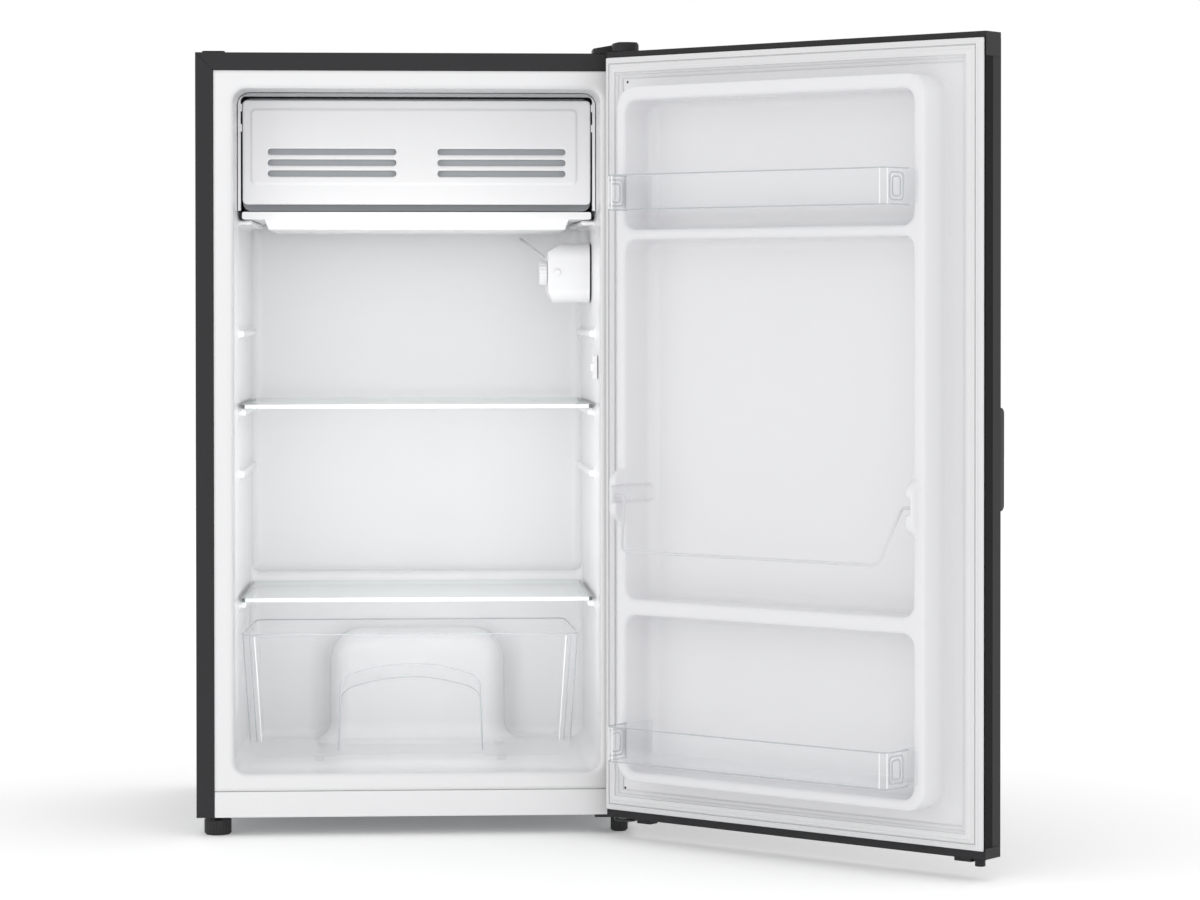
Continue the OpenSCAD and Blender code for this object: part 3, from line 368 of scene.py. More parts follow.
def tubes(name, body, paths, radius, material, on_door=False):
    """Round rods along paths in millimetres, as one piece."""
    curve = bpy.data.curves.new(name, "CURVE")
    curve.dimensions = "3D"
    for path in paths:
        spline = curve.splines.new("POLY")
        spline.points.add(len(path) - 1)
        for point, place in zip(spline.points, path):
            at = Vector(place) * MM
            point.co = (*(OPEN_DOOR @ at if on_door else at), 1)
    curve.bevel_depth = radius * MM
    curve.bevel_resolution = 4
    curve.use_fill_caps = True
    curve.materials.append(material)
    piece = bpy.data.objects.new(name, curve)
    bpy.context.scene.collection.objects.link(piece)
    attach(piece, body)
    return piece


# Edges sharper than this are rounded, in degrees
SHARP = 32


def soften(node, width, material=None):
    """The CAD node with its edges rounded, as a piece of its own."""
    source = frame["nodes"][node]
    mesh = source.data.copy()
    body = source["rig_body"]
    bm = bmesh.new()
    bm.from_mesh(mesh)
    bmesh.ops.remove_doubles(bm, verts=bm.verts, dist=0.01 * MM)
    bmesh.ops.dissolve_limit(bm, angle_limit=math.radians(0.6), verts=bm.verts, edges=bm.edges)
    sharp = [e for e in bm.edges if e.is_manifold and e.calc_face_angle(0) > math.radians(SHARP)]
    bmesh.ops.bevel(bm, geom=sharp, offset=width * MM, segments=3, profile=0.5, affect="EDGES",
                    clamp_overlap=True, harden_normals=False)
    bmesh.ops.remove_doubles(bm, verts=bm.verts, dist=0.003 * MM)
    bmesh.ops.triangulate(bm, faces=[f for f in bm.faces if len(f.verts) > 4])
    for face in bm.faces:
        face.smooth = True
    bm.to_mesh(mesh)
    bm.free()
    mesh.materials.clear()
    slot = SLOTS[node]
    # Top and bottom faces are glass; front and back edges get the painted light edge colour, side edges the
    # painted shade colour
    if slot == "glass":
        for key in ("glass", "glass_rim_lit", "glass_rim_shaded"):
            mesh.materials.append(MATERIALS[key])
        for face in mesh.polygons:
            face.material_index = 0 if abs(face.normal.z) > 0.6 else 1 + int(abs(face.normal.x) > 0.6)
    piece = add_piece(node + "_skin", mesh, body, [node], slot, material)
    normals = piece.modifiers.new("normals", "WEIGHTED_NORMAL")
    normals.keep_sharp = False
    normals.weight = 80
    return piece


# ---------------------------------------------------------------- surfaces from distance functions

def both(a, b, r):
    """Where a and b both hold (negative inside), with the edge between them rounded to r."""
    if r <= 0:
        return np.maximum(a, b)
    return np.minimum(-r, np.maximum(a, b)) + np.hypot(np.maximum(a + r, 0), np.maximum(b + r, 0))


def either(a, b, r):
    """Where a or b holds, with a fillet of r between them."""
    return -both(-a, -b, r)


def band(v, low, high):
    """Negative between low and high."""
    return np.abs(v - (low + high) / 2) - (high - low) / 2


def surface_net(field, low, high, cell):
    """Vertices and quads of the surface where field is 0, on a grid of cubes."""
    low, high = np.array(low, float), np.array(high, float)
    counts = np.maximum(np.round((high - low) / cell).astype(int), 1)
    axes = [np.linspace(low[i], high[i], counts[i] + 1) for i in range(3)]
    values = field(*np.meshgrid(*axes, indexing="ij"))
    inside = values < 0
    window = [slice(0, -1), slice(1, None)]
    corners = [(i, j, k) for i in (0, 1) for j in (0, 1) for k in (0, 1)]
    total = sum(inside[window[i], window[j], window[k]].astype(int) for i, j, k in corners)
    active = (total > 0) & (total < 8)
    cells = np.argwhere(active)
    index = np.full(active.shape, -1)
    index[active] = np.arange(len(cells))
    summed = np.zeros((len(cells), 3))
    weight = np.zeros(len(cells))
    for a, start in enumerate(corners):
        for end in corners[a + 1:]:
            step = np.array(end) - np.array(start)
            if np.abs(step).sum() != 1:
                continue
            v0 = values[tuple((cells + start).T)]
            v1 = values[tuple((cells + end).T)]
            cross = (v0 < 0) != (v1 < 0)
            t = np.where(cross, v0 / np.where(cross, v0 - v1, 1), 0)
            summed += cross[:, None] * (np.array(start) + t[:, None] * step)
            weight += cross
    spot = cells + summed / weight[:, None]
    spacing = (high - low) / counts
    points = low + spot * spacing
    quads = []
    for axis in range(3):
        others = [i for i in range(3) if i != axis]
        near = [slice(None)] * 3
        far = [slice(None)] * 3
        near[axis], far[axis] = slice(0, -1), slice(1, None)
        change = inside[tuple(near)] != inside[tuple(far)]
        at = np.argwhere(change)
        ok = np.all([(at[:, o] > 0) & (at[:, o] < counts[o]) for o in others], axis=0)
        at = at[ok]
        solid_first = inside[tuple(at.T)]
        ring = []
        for d0, d1 in ((1, 1), (0, 1), (0, 0), (1, 0)):
            shifted = at.copy()
            shifted[:, others[0]] -= d0
            shifted[:, others[1]] -= d1
            ring.append(index[tuple(shifted.T)])
        face = np.stack(ring, axis=1)
        flip = solid_first if axis == 1 else ~solid_first
        face[flip] = face[flip][:, ::-1]
        quads.append(face)
    border = [(cells[:, i] == 0, cells[:, i] == counts[i] - 1) for i in range(3)]
    return points, np.concatenate(quads), border, low, high


def slope(field, points, step=0.05):
    """Gradient of the field at the points."""
    columns = []
    for axis in range(3):
        shift = np.zeros(3)
        shift[axis] = step
        ahead, behind = (points + shift).T, (points - shift).T
        columns.append((field(*ahead) - field(*behind)) / (2 * step))
    return np.stack(columns, axis=1)


def settle(field, points, border, low, high, open_sides):
    """Moves the points onto the surface, and onto the domain's open sides where they border them."""
    fixed = np.zeros_like(points, bool)
    for axis, side in open_sides:
        at_border = border[axis][side]
        points[at_border, axis] = (low, high)[side][axis]
        fixed[at_border, axis] = True
    for _ in range(4):
        g = slope(field, points)
        g[fixed] = 0
        size = np.maximum((g * g).sum(axis=1), 0.05)
        move = -field(*points.T)[:, None] * g / size[:, None]
        points += np.clip(move, -2, 2)
    return points


def field_mesh(name, field, low, high, cell, wall=0.0, open_sides=()):
    """Mesh of field = 0 in metres. With wall, it is a sheet of that thickness behind its surface."""
    points, quads, border, low, high = surface_net(field, low, high, cell)
    points = settle(field, points, border, low, high, open_sides)
    g = slope(field, points)
    normals = g / np.maximum(np.linalg.norm(g, axis=1), 1e-6)[:, None]
    used = np.unique(quads)
    remap = np.full(len(points), -1)
    remap[used] = np.arange(len(used))
    points, normals, quads = points[used], normals[used], remap[quads]
    faces = quads
    if wall:
        count = len(points)
        back = points - wall * normals
        for axis, side in open_sides:
            at_border = border[axis][side][used]
            back[at_border, axis] = (low, high)[side][axis]
        edges = np.concatenate([quads[:, [i, (i + 1) % 4]] for i in range(4)])
        key = np.sort(edges, axis=1)
        _, first, uses = np.unique(key, axis=0, return_index=True, return_counts=True)
        rim = edges[first[uses == 1]]
        skirt = np.stack([rim[:, 1], rim[:, 0], rim[:, 0] + count, rim[:, 1] + count], axis=1)
        faces = np.concatenate([quads, quads[:, ::-1] + count, skirt])
        points = np.concatenate([points, back])
    mesh = bpy.data.meshes.new(name)
    mesh.from_pydata((points * MM).tolist(), [], faces.tolist())
    mesh.validate()
    mesh.polygons.foreach_set("use_smooth", [True] * len(mesh.polygons))
    mesh.update()
    return mesh


# ---------------------------------------------------------------- cabinet

# The room inside: lower and upper edge of its mouth, how far floor and ceiling lie inside
# them, half-widths at both ends, back wall
OPENING = (62.5, 803.5)
MOUTH_IN = 4
WALL_FRONT, WALL_BACK = 196.4, 192.0
BACK_Y = 366.0
# The low back wall, and the hump over the compressor with the radii of its outline and its face
LEDGE_Y, LEDGE_Z = 322.0, 258.0
HUMP_Y, HUMP_HW, HUMP_Z = 272.0, 100.0, 196.0
HUMP_R, HUMP_EDGE_R = 38, 24
# Half-width and height of the liner's flange, depth of its face, thickness of the plastic
FLANGE_HW, FLANGE_Z = 216.6, (48.8, 818.2)
FACE_Y = 0.3
LINER_WALL = 1.8
# Top, front and back ends, reach from the wall and height of the ribs on both side walls
SHELF_RIB = 454.5
RIBS = [
    (SHELF_RIB, 96, 340, 8, 8), (SHELF_RIB - 68, 96, 340, 6, 8), (SHELF_RIB + 86, 96, 340, 6, 8),
    (243.5, 96, 300, 8, 8), (661.0, 96, 340, 15, 5),
]
# The foam's block, and what is set into it: bottom rail, compressor bay, hot tubes and feet
FOAM_HW, FOAM_Y, FOAM_Z = 234.6, (2.6, 404.6), (25.0, 836.0)
RAIL_Y, RAIL_Z = 15.8, 48.9
BAY_HW, BAY_Y, BAY_Z = 85.4, 297.6, 171.4
TUBES_X, TUBES_Y, TUBES_Z = 228.6, (60, 350), (120, 780)
FOOT_X = 214.5
# Depth, radius and height of the holes over the front and rear feet
FOOT_HOLES = [(25, 9, 44), (378, 7, 32)]
# Air and liner between the liner's face and the foam
FOAM_GAP = 2.6


def liner_field(x, y, z):
    """Negative in the liner's plastic, positive in the air of the interior and in front of it."""
    wall = WALL_FRONT + (WALL_BACK - WALL_FRONT) * y / BACK_Y
    room = both(np.abs(x) - wall, band(z, OPENING[0] + MOUTH_IN, OPENING[1] - MOUTH_IN), 14)
    room = both(room, y - BACK_Y, 12)
    ledge = both(LEDGE_Y - y, z - LEDGE_Z, 10)
    hump = both(both(np.abs(x) - HUMP_HW, z - HUMP_Z, HUMP_R), HUMP_Y - y, HUMP_EDGE_R)
    room = both(room, -ledge, 10)
    room = both(room, -hump, HUMP_EDGE_R)
    solid = both(-room, FACE_Y - y, 5)
    for top, y0, y1, reach, height in RIBS:
        rib = both(band(z, top - height, top), wall - reach - np.abs(x), 2)
        rib = both(rib, band(y, y0, y1), 4)
        solid = either(solid, rib, 2)
    return solid


def foam_field(x, y, z):
    """The cabinet's foam, clear of the shell, the liner and everything set into the foam."""
    side = np.abs(x)
    block = both(side - FOAM_HW, band(z, *FOAM_Z), 2)
    block = both(block, band(y, *FOAM_Y), 0)
    rail = both(y - RAIL_Y, z - RAIL_Z, 0)
    bay = both(side - BAY_HW, both(BAY_Y - y, z - BAY_Z, 0), 0)
    tubes_pocket = both(both(TUBES_X - side, band(y, *TUBES_Y), 0), band(z, *TUBES_Z), 0)
    feet = [both(np.hypot(side - FOOT_X, y - depth) - r, z - top, 0) for depth, r, top in FOOT_HOLES]
    for hollow in (rail, bay, tubes_pocket, *feet):
        block = both(block, -hollow, 0)
    return both(block, liner_field(x, y, z) + FOAM_GAP, 0)


def make_foam():
    low, high = (-237, 0, 22), (237, 407, 839)
    mesh = field_mesh("insulation_fill", foam_field, low, high, 7.0)
    add_piece("insulation_fill", mesh, "cabinet", ["insulation"], "foam")


def make_liner():
    low = (-FLANGE_HW, -2.0, FLANGE_Z[0])
    high = (FLANGE_HW, BACK_Y + 8, FLANGE_Z[1])
    sides = [(0, 0), (0, 1), (2, 0), (2, 1)]
    cell = 3.0
    mesh = field_mesh("inner_liner_skin", liner_field, low, high, cell, LINER_WALL, sides)
    add_piece("inner_liner_skin", mesh, "cabinet", ["inner_liner"], "white_plastic")


# The freezer flap: half-width, its raised face, and its slots
FLAP_HW = 189.5
FLAP_FACE_X, FLAP_FACE_Z = (-180, 174), (700, 781)
FLAP_FACE_RISE = 1.5
FLAP_SIDE_WALL, FLAP_FACE_WALL = 2.6, 4.2
SLOT_X = (22.5, 162.1)
SLOT_HALF = 3.4
SLOT_ROWS = (711.3, 723.2, 735.0)


def flap_field(x, y, z):
    """Negative in the freezer flap's plastic, a plate with a raised face and a hollow back."""
    low, high = node_box("freezer_flap")
    front, back = low[1], high[1]
    upright = band(z, low[2], high[2])
    face = both(band(x, *FLAP_FACE_X), band(z, *FLAP_FACE_Z), 5)
    step = either(front + FLAP_FACE_RISE - y, both(face, front - y, 0.9), 1.2)
    plate = both(both(np.abs(x) - FLAP_HW, upright, 5), step, 1.6)
    plate = both(plate, y - back, 0.8)
    hollow = both(np.abs(x) - FLAP_HW + FLAP_SIDE_WALL, upright + FLAP_SIDE_WALL, 4)
    hollow = both(hollow, front + FLAP_FACE_WALL - y, 1.0)
    plate = both(plate, -hollow, 0.6)
    for centre in SLOT_ROWS:
        slot = both(band(np.abs(x), *SLOT_X), np.abs(z - centre) - SLOT_HALF, SLOT_HALF - 0.05)
        plate = both(plate, -slot, 0.5)
    return plate


def make_flap():
    low, high = node_box("freezer_flap")
    air = 1.5
    low = (-FLAP_HW - air, low[1] - air, low[2] - air)
    high = (FLAP_HW + air, high[1] + air, high[2] + air)
    mesh = field_mesh("freezer_flap_skin", flap_field, low, high, 1.3)
    add_piece("freezer_flap_skin", mesh, "freezer_flap", ["freezer_flap"], "white_plastic")


# ---------------------------------------------------------------- crisper drawer

# Middle and half-width at the top, then lower and upper, front and back ends
DRAWER_X, DRAWER_HW = -7.5, 184.5
DRAWER_Z = (73.0, 209.0)
DRAWER_Y = (80.0, 264.0)
# How far the walls lean in from top to floor, and the sides from front to back
SIDE_LEAN, FRONT_LEAN, BACK_LEAN, DRAWER_TAPER = 9, 4, 8, 8.5
# The hand recess: half-width at the top, flare, depth, and its arch with the fall to its back
PULL_HW, PULL_FLARE, PULL_DEPTH = 74, 5, 30
ARCH_R, ARCH_TOP, ARCH_FALL = 200.0, 176.0, 0.6
# Drawer's feet: places from its middle and its two ends, radius and height
DRAWER_FEET = [(x, y) for x in (-100, 100) for y in (DRAWER_Y[0] + 22, DRAWER_Y[1] - 36)]
DRAWER_FOOT_R, DRAWER_FOOT_H = 5, 5.5


def drawer_down(z):
    """How far down a height lies, from 0 at the drawer's top to 1 at its floor."""
    return (DRAWER_Z[1] - z) / (DRAWER_Z[1] - DRAWER_Z[0])


def drawer_side(z, y):
    """Half-width of the drawer at a height and a depth."""
    back = (y - DRAWER_Y[0]) / (DRAWER_Y[1] - DRAWER_Y[0])
    return DRAWER_HW - DRAWER_TAPER * back - SIDE_LEAN * drawer_down(z)


def drawer_front(z):
    """Depth of the drawer's front at a height."""
    return DRAWER_Y[0] + FRONT_LEAN * drawer_down(z)


def drawer_field(x, y, z):
    """Negative inside the drawer's outer form, with its hand recess and feet."""
    x = x - DRAWER_X
    box = both(np.abs(x) - drawer_side(z, y), DRAWER_Z[0] - z, 16)
    box = both(box, both(drawer_front(z) - y, y - DRAWER_Y[1] + BACK_LEAN * drawer_down(z), 0), 9)
    arch = ARCH_TOP - ARCH_R + np.sqrt(np.maximum(ARCH_R ** 2 - x ** 2, 1)) - ARCH_FALL * (y - DRAWER_Y[0])
    pull = both(np.abs(x) - PULL_HW - PULL_FLARE * drawer_down(z), y - DRAWER_Y[0] - PULL_DEPTH, 12)
    pull = both(pull, z - arch, 6)
    box = both(box, -pull, 3)
    for foot_x, foot_y in DRAWER_FEET:
        foot = both(np.hypot(x - foot_x, y - foot_y) - DRAWER_FOOT_R, DRAWER_Z[0] - DRAWER_FOOT_H - z, 1)
        box = either(box, both(foot, z - DRAWER_Z[0] - 4, 0), 1.5)
    return box


def make_drawer():
    air = 4
    low = (DRAWER_X - DRAWER_HW - air, DRAWER_Y[0] - air, DRAWER_Z[0] - 2 * air)
    high = (DRAWER_X + DRAWER_HW + air, DRAWER_Y[1] + air, DRAWER_Z[1])
    cell = 2.4
    mesh = field_mesh("crisper_drawer_skin", drawer_field, low, high, cell, 0.0, [(2, 1)])
    add_piece("crisper_drawer_skin", mesh, "crisper_drawer", ["crisper_drawer"], "clear_plastic")


# ---------------------------------------------------------------- door liner

# Front face of the shut door, and depths behind it: liner's floor, rim and wire bosses
DOOR_FACE = -39.0
FLOOR_N, RIM_N, BOSS_N = 31.0, 72.0, 88.0
# Ends of the liner, the rim and the pockets, upwards and sideways
LINER_HW, LINER_Z = 235.0, (30.9, 830.6)
RIM_HW, RIM_Z = 191.5, (69.5, 796.0)
POCKETS = [(80.0, 244.0), (260.5, 636.5), (646.5, 781.5)]
POCKET_FLOOR_HW, POCKET_HW = 173, 180
# Draft of the rim's sides and of the pockets' ends
RIM_DRAFT, POCKET_DRAFT = 0.04, 0.05
# Bosses of the bottle wire: height, half-height, slope of their ends and the factor that makes
# that slope a distance, then place and half-thickness
BOSS_Z, BOSS_HALF, BOSS_SLOPE, BOSS_SCALE = 369.0, 20, 0.6, 0.86
BOSS_X, BOSS_HALF_X = 184.2, 4.6
# Shallow groove in the pocket's sides under the bosses: depth, height over them, half-height
GROOVE_IN, GROOVE_UP, GROOVE_HALF = 3.2, 2, 9
# Screw holes in the liner's flange, painted as small dark disks of shade: across and up on the shut door,
# moved to the open door
HOLE_SHADE_R = 1.4
HOLE_SHADE_SPOTS = [
    OPEN_DOOR @ (Vector((x, DOOR_FACE + FLOOR_N, z)) * MM) / MM for x, z in ((207.0, 804.0), (210.5, 55.5))
]
# The door's foam: half-width, depth of its face, height, and the hollows for caps, handle and trims
DOOR_FOAM_HW, DOOR_FOAM_N, DOOR_FOAM_Z = 233, 2.0, (33.7, 827.7)
CAP_X, CAP_UP = (205, 237), (53.7, 807.7)
GRIP_X, GRIP_N, GRIP_Z = -203, 13, (360.5, 468.5)
TRIM_X, TRIM_N = 221.5, 26.5


def door_liner_field(x, n, z):
    """Negative in the door liner; n is the depth behind the door's front face."""
    side = np.abs(x)
    rim = both(side - RIM_HW - RIM_DRAFT * (RIM_N - n), band(z, *RIM_Z), 22)
    rim = both(rim, n - RIM_N, 4)
    solid = either(n - FLOOR_N, rim, 6)
    inner = POCKET_FLOOR_HW + (POCKET_HW - POCKET_FLOOR_HW) * (n - FLOOR_N) / (RIM_N - FLOOR_N)
    for z0, z1 in POCKETS:
        pocket = both(side - inner, band(z, z0, z1) + POCKET_DRAFT * (RIM_N - n), 13)
        pocket = both(pocket, FLOOR_N - n, 11)
        solid = both(solid, -pocket, 3)
    boss = (np.abs(z - BOSS_Z) - BOSS_HALF - BOSS_SLOPE * (BOSS_N - n)) * BOSS_SCALE
    boss = both(boss, n - BOSS_N, 4)
    boss = both(boss, np.abs(side - BOSS_X) - BOSS_HALF_X, 3)
    solid = either(solid, boss, 3)
    groove = both(side - inner - GROOVE_IN, np.abs(z - BOSS_Z - GROOVE_UP) - GROOVE_HALF, 2)
    groove = both(groove, FLOOR_N + 2 - n, 5)
    return both(solid, -groove, 1.2)


def make_door_liner():
    low = (-LINER_HW, FLOOR_N - 9, LINER_Z[0])
    high = (LINER_HW, BOSS_N + 4, LINER_Z[1])
    sides = [(0, 0), (0, 1), (2, 0), (2, 1)]
    cell = 2.5
    mesh = field_mesh("door_liner_skin", door_liner_field, low, high, cell, LINER_WALL, sides)
    mesh.transform(Matrix.Translation((0, DOOR_FACE * MM, 0)))
    add_piece("door_liner_skin", mesh, "door", ["door_liner"], "white_plastic",
              MATERIALS["door_white"], on_door=True)


def door_foam_field(x, n, z):
    """The foam behind the door's liner, clear of the skin, caps and trims."""
    side = np.abs(x)
    block = both(side - DOOR_FOAM_HW, DOOR_FOAM_N - n, 2)
    block = both(block, band(z, *DOOR_FOAM_Z), 2)
    caps = both(band(side, *CAP_X), -band(z, *CAP_UP), 0)
    grip = both(both(x - GRIP_X, band(z, *GRIP_Z), 0), n - GRIP_N, 0)
    trims = both(TRIM_X - side, TRIM_N - n, 0)
    for hollow in (caps, grip, trims):
        block = both(block, -hollow, 0)
    return both(block, door_liner_field(x, n, z) + FOAM_GAP, 0)


def make_door_foam():
    low, high = (-236, 0, 28), (236, 74, 833)
    mesh = field_mesh("door_foam_fill", door_foam_field, low, high, 5.0)
    mesh.transform(Matrix.Translation((0, DOOR_FACE * MM, 0)))
    add_piece("door_foam_fill", mesh, "door", ["door_foam"], "foam", on_door=True)


# Outer half-width and lower and upper end of the gasket
GASKET_HW, GASKET_Z = 236.0, (30.5, 831.0)


def make_gasket():
    """Vinyl seal with mitred corners: rings of four corners from its outer foot to its inner foot."""
    n0 = FLOOR_N + 0.05
    # Inset from the door's outer edge, and depth behind the front face
    profile = [
        (1.0, n0), (1.0, n0 + 1.6), (2.6, n0 + 2.2), (2.6, n0 + 3.0), (5.2, n0 + 3.4),
        (5.2, n0 + 4.6), (6.6, n0 + 5.0), (6.9, n0 + 3.0), (7.7, n0 + 3.0), (8.2, n0 + 5.0),
        (11.2, n0 + 5.3), (11.8, n0 + 6.6), (13.2, n0 + 7.2), (16.6, n0 + 7.3), (17.0, n0 + 5.0),
        (18.2, n0 + 5.0), (18.6, n0 + 4.6), (19.4, n0 + 4.0), (19.6, n0 + 2.6), (21.8, n0 + 2.2),
        (23.4, n0 + 1.0), (23.4, n0),
    ]
    verts, faces = [], []
    for inset, depth in profile:
        y = DOOR_FACE + depth
        x, z0, z1 = GASKET_HW - inset, GASKET_Z[0] + inset, GASKET_Z[1] - inset
        verts += [(-x, y, z0), (x, y, z0), (x, y, z1), (-x, y, z1)]
    rows = len(profile)
    for i in range(rows):
        j = (i + 1) % rows
        for k in range(4):
            m = (k + 1) % 4
            faces.append((i * 4 + k, i * 4 + m, j * 4 + m, j * 4 + k))
    mesh = bpy.data.meshes.new("door_gasket_skin")
    mesh.from_pydata([Vector(v) * MM for v in verts], [], faces)
    bm = bmesh.new()
    bm.from_mesh(mesh)
    bmesh.ops.recalc_face_normals(bm, faces=bm.faces)
    bm.to_mesh(mesh)
    bm.free()
    piece = add_piece("door_gasket_skin", mesh, "door", ["door_gasket"], "gasket", on_door=True)
    edge = piece.modifiers.new("soft_edges", "BEVEL")
    edge.width = 0.25 * MM
    edge.segments = 2
    edge.limit_method = "ANGLE"
    edge.angle_limit = math.radians(25)


# ---------------------------------------------------------------- the bottle wire

# Depth of the wire's pivots, its fall and reach, half-widths at its ends, top and bottom, radius
WIRE_N, WIRE_DROP, WIRE_OUT = 80.5, 56.0, 22.0
WIRE_END, WIRE_HW, WIRE_LOW_HW = 186.3, 172.5, 160.0
WIRE_R = 1.58


def make_wire():
    """Bent wire with rounded corners, as a swept tube."""
    y = DOOR_FACE + WIRE_N
    corners = [(WIRE_END, y, BOSS_Z), (WIRE_HW, y, BOSS_Z), (WIRE_LOW_HW, y + WIRE_OUT, BOSS_Z - WIRE_DROP)]
    corners += [(-x, yy, z) for x, yy, z in reversed(corners)]
    path = bent(corners, [0, 4, 9, 9, 4, 0])
    piece = tubes("bottle_wire_skin", "bottle_wire", [path], WIRE_R, MATERIALS["wire"], on_door=True)
    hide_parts("bottle_wire")


# ---------------------------------------------------------------- moulded edges of the clear plastics, grey as painted shade, with painted highlight lines

def loop_on_end(x, y, z, half_y, half_z, radius):
    """A closed rounded rectangle in a plane across the rack."""
    corners = [(x, y - half_y, z - half_z), (x, y + half_y, z - half_z),
               (x, y + half_y, z + half_z), (x, y - half_y, z + half_z)]
    path = bent(corners, [radius] * 4)
    return path + path[:1]


# Half-width of the racks, and depths of their front, their nested loops and their back
RACK_HW, RACK_N, LOOP_N, RACK_BACK_N = 176.0, 111.0, 93.0, 73.5
# Radii of the grey rods, painted shade, along the racks' and the drawer's edges, and of the white rods,
# painted highlights
RACK_EDGE_R, DRAWER_EDGE_R, HIGHLIGHT_R = 0.65, 0.7, 0.6
RACK_BEND, RIM_BEND = 11.7, 10.5
# Half-depth, half-height and corners of the two loops on each end of a rack
LOOPS = [(12, 13.5, 5), (7, 9.5, 4)]
# Half-width and setback of the painted highlight lines, bright white, in each front corner of a rack
HIGHLIGHT_LINES = [(166, 0), (172.8, 3.5)]


def make_rack_edges(rack):
    """Moulded edges of a clear rack in grey, as painted shade, and white lines in its front corners as
    painted highlights.
    """
    low, high = (corner[2] for corner in node_box(rack))
    r = RACK_EDGE_R
    x, front, back = RACK_HW - r, DOOR_FACE + RACK_N - r, DOOR_FACE + RACK_BACK_N
    edges = []
    for z in (low + r, high - r):
        corners = [(-x, back, z), (-x, front, z), (x, front, z), (x, back, z)]
        edges.append(bent(corners, [0, RACK_BEND, RACK_BEND, 0]))
    middle = (low + high) / 2
    for side in (-1, 1):
        for half_y, half_z, bend in LOOPS:
            edges.append(loop_on_end(side * (x - 1), DOOR_FACE + LOOP_N, middle, half_y, half_z, bend))
    # Grey rods along the rack's rims and end loops: painted shade
    tubes(rack + "_edges", rack, edges, r, MATERIALS["edge_shade_paint"], on_door=True)
    # White rods in the rack's front corners: painted highlights
    painted_highlights = [[(side * across, front - setback, z) for z in (low + 1, high - 1)]
              for side in (-1, 1) for across, setback in HIGHLIGHT_LINES]
    tubes(rack + "_gleams", rack, painted_highlights, HIGHLIGHT_R, MATERIALS["highlight_paint"], on_door=True)


def pull_outline(inset):
    """The arch of the drawer's hand recess and its two sides, at a depth behind the front."""
    fall = ARCH_FALL * inset
    foot, shoulder = DRAWER_Z[0] + 8, DRAWER_Z[0] + 84 - fall
    low_x, high_x = (PULL_HW + PULL_FLARE * drawer_down(z) for z in (foot, shoulder))
    arch = [(x, ARCH_TOP - ARCH_R + math.sqrt(ARCH_R ** 2 - x ** 2) - fall) for x in range(-66, 67, 12)]
    outline = [(-low_x, foot), (-high_x, shoulder), *arch, (high_x, shoulder), (low_x, foot)]
    bends = [0, 6] + [3] * len(arch) + [6, 0]
    depths = [DRAWER_Y[0] + inset if inset else drawer_front(z) + DRAWER_EDGE_R for _, z in outline]
    return bent([(DRAWER_X + x, y, z) for (x, z), y in zip(outline, depths)], bends)


def make_drawer_edges():
    """Moulded edges of the clear drawer and lines where its front corners round, in grey as painted shade,
    and white lines on its front as painted highlights.
    """
    r = DRAWER_EDGE_R
    top = DRAWER_Z[1] - r
    front, back = drawer_front(top) + r, DRAWER_Y[1] - r
    wide, narrow = drawer_side(top, front) - r, drawer_side(top, back) - r
    plan = [(-wide, front), (wide, front), (narrow, back), (-narrow, back)]
    rim = bent([(DRAWER_X + x, y, top) for x, y in plan], [RIM_BEND] * 4)
    edges = [rim + rim[:1], pull_outline(0), pull_outline(PULL_DEPTH - 1)]
    painted_highlights = []
    ends = (DRAWER_Z[0] + 18, DRAWER_Z[1] - 3)
    for side in (-1, 1):
        # At each front corner two grey lines are painted shade, and the white line beside them on the front
        # is a painted highlight
        for inset, depth, group in ((9, 0.8, edges), (14, 0.8, painted_highlights), (1.0, 9, edges)):
            across = [drawer_side(z, DRAWER_Y[0] + depth) - inset for z in ends]
            group.append([(DRAWER_X + side * x, drawer_front(z) + depth, z)
                          for x, z in zip(across, ends)])
    # Grey rods along the rim, the hand recess and the front corners: painted shade
    tubes("crisper_drawer_edges", "crisper_drawer", edges, r, MATERIALS["edge_shade_paint"])
    tubes("crisper_drawer_gleams", "crisper_drawer", painted_highlights, HIGHLIGHT_R, MATERIALS["highlight_paint"])


# ---------------------------------------------------------------- the rest of the CAD nodes

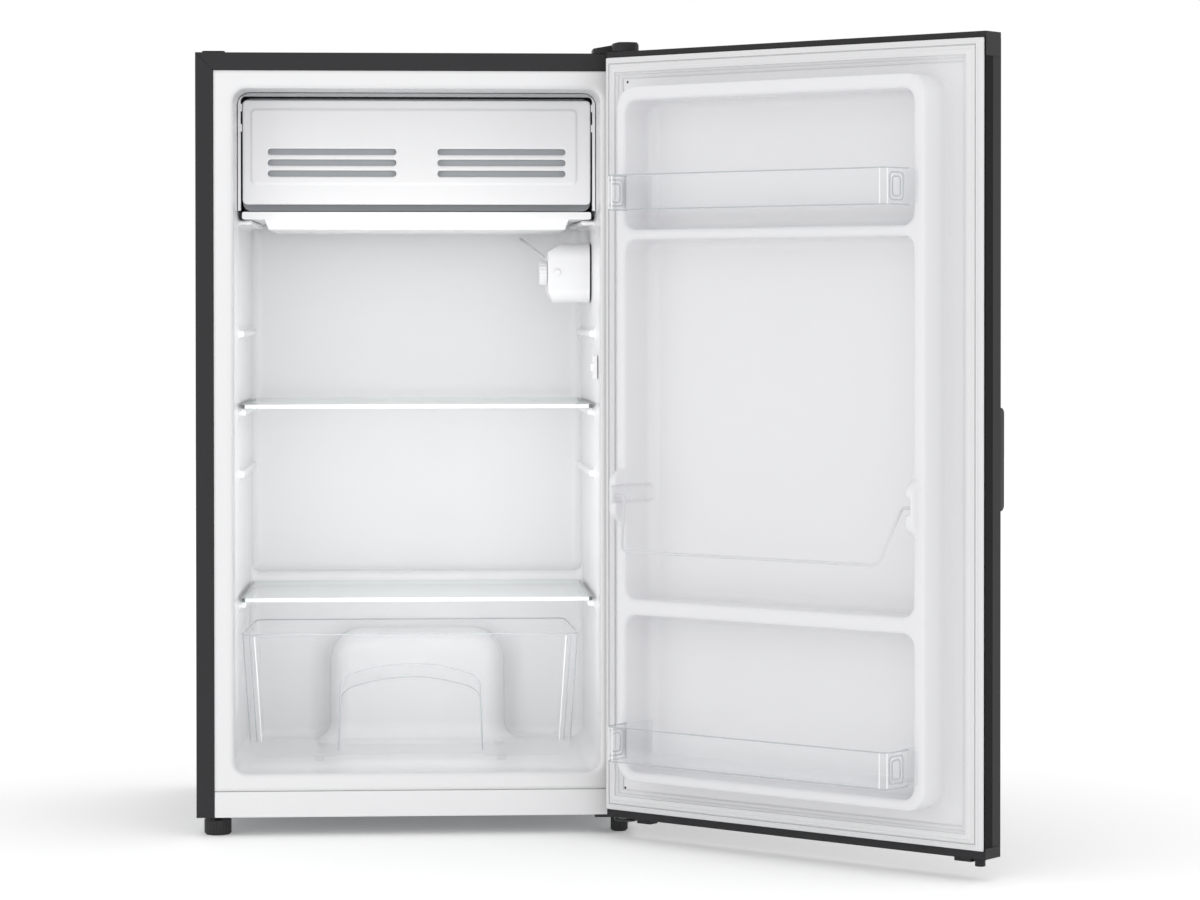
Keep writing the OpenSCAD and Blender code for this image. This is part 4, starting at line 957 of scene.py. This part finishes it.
# CAD nodes shown with rounded edges, and the radius of those edges
SOFT_EDGES = {
    "outer_shell": 0.9, "bottom_rail": 1.2, "back_panel": 0.4, "drip_tray": 0.8, "freezer_frame": 0.8,
    "control_housing": 2.4, "thermostat_knob": 0.7, "switch_housing": 0.5, "switch_button": 0.6,
    "top_hinge_cover": 0.8, "hinge_hole_cap": 0.6, "top_hinge_bracket": 0.3, "bottom_hinge_bracket": 0.4,
    "front_foot_left": 0.5, "front_foot_right": 0.5, "rear_feet": 0.6, "door_skin": 0.4,
    "door_side_trims": 0.35, "door_top_cap": 0.8, "door_bottom_cap": 0.8, "door_stop_plug": 0.8,
    "door_handle": 2.2, "rack_top": 0.7, "rack_bottom": 0.7, "upper_shelf": 0.8, "crisper_cover": 0.8,
    "compressor": 0.8, "compressor_base": 0.4, "compressor_grommets": 0.8, "compressor_bolts": 0.3,
    "relay_cover": 1.2, "evaporating_pan": 0.8, "cord_gland": 0.6, "housing_screw": 0.4,
    "evaporator": 0.5, "compressor_bay": 0.4,
}
# Height over which the freezer frame's top bar is grey, painted shade along the top of the freezer opening
FRAME_BAR_Z = 794.5


def finish_nodes():
    """Rounded or plain, every remaining CAD node gets its finish."""
    own = {"door_skin": MATERIALS["door_steel"], "door_side_trims": MATERIALS["door_trim"],
           "outer_shell": MATERIALS["shell_steel"]}
    for node, width in SOFT_EDGES.items():
        piece = soften(node, width, own.get(node))
        if node == "freezer_frame":
            # The top bar's faces get the grey: painted shade
            piece.data.materials.append(MATERIALS["frame_bar_shade"])
            for face in piece.data.polygons:
                face.material_index = int(face.center.z > FRAME_BAR_Z * MM)
    for node, obj in frame["nodes"].items():
        if node in SOFT_EDGES or obj.hide_render:
            continue
        obj.data.materials.clear()
        obj.data.materials.append(MATERIALS[SLOTS[node]])


MATERIALS = make_materials()
make_camera()
make_studio()
make_floor()
make_liner()
make_foam()
make_flap()
make_drawer()
make_door_liner()
make_door_foam()
make_gasket()
make_wire()
for rack in ("rack_top", "rack_bottom"):
    make_rack_edges(rack)
make_drawer_edges()
finish_nodes()
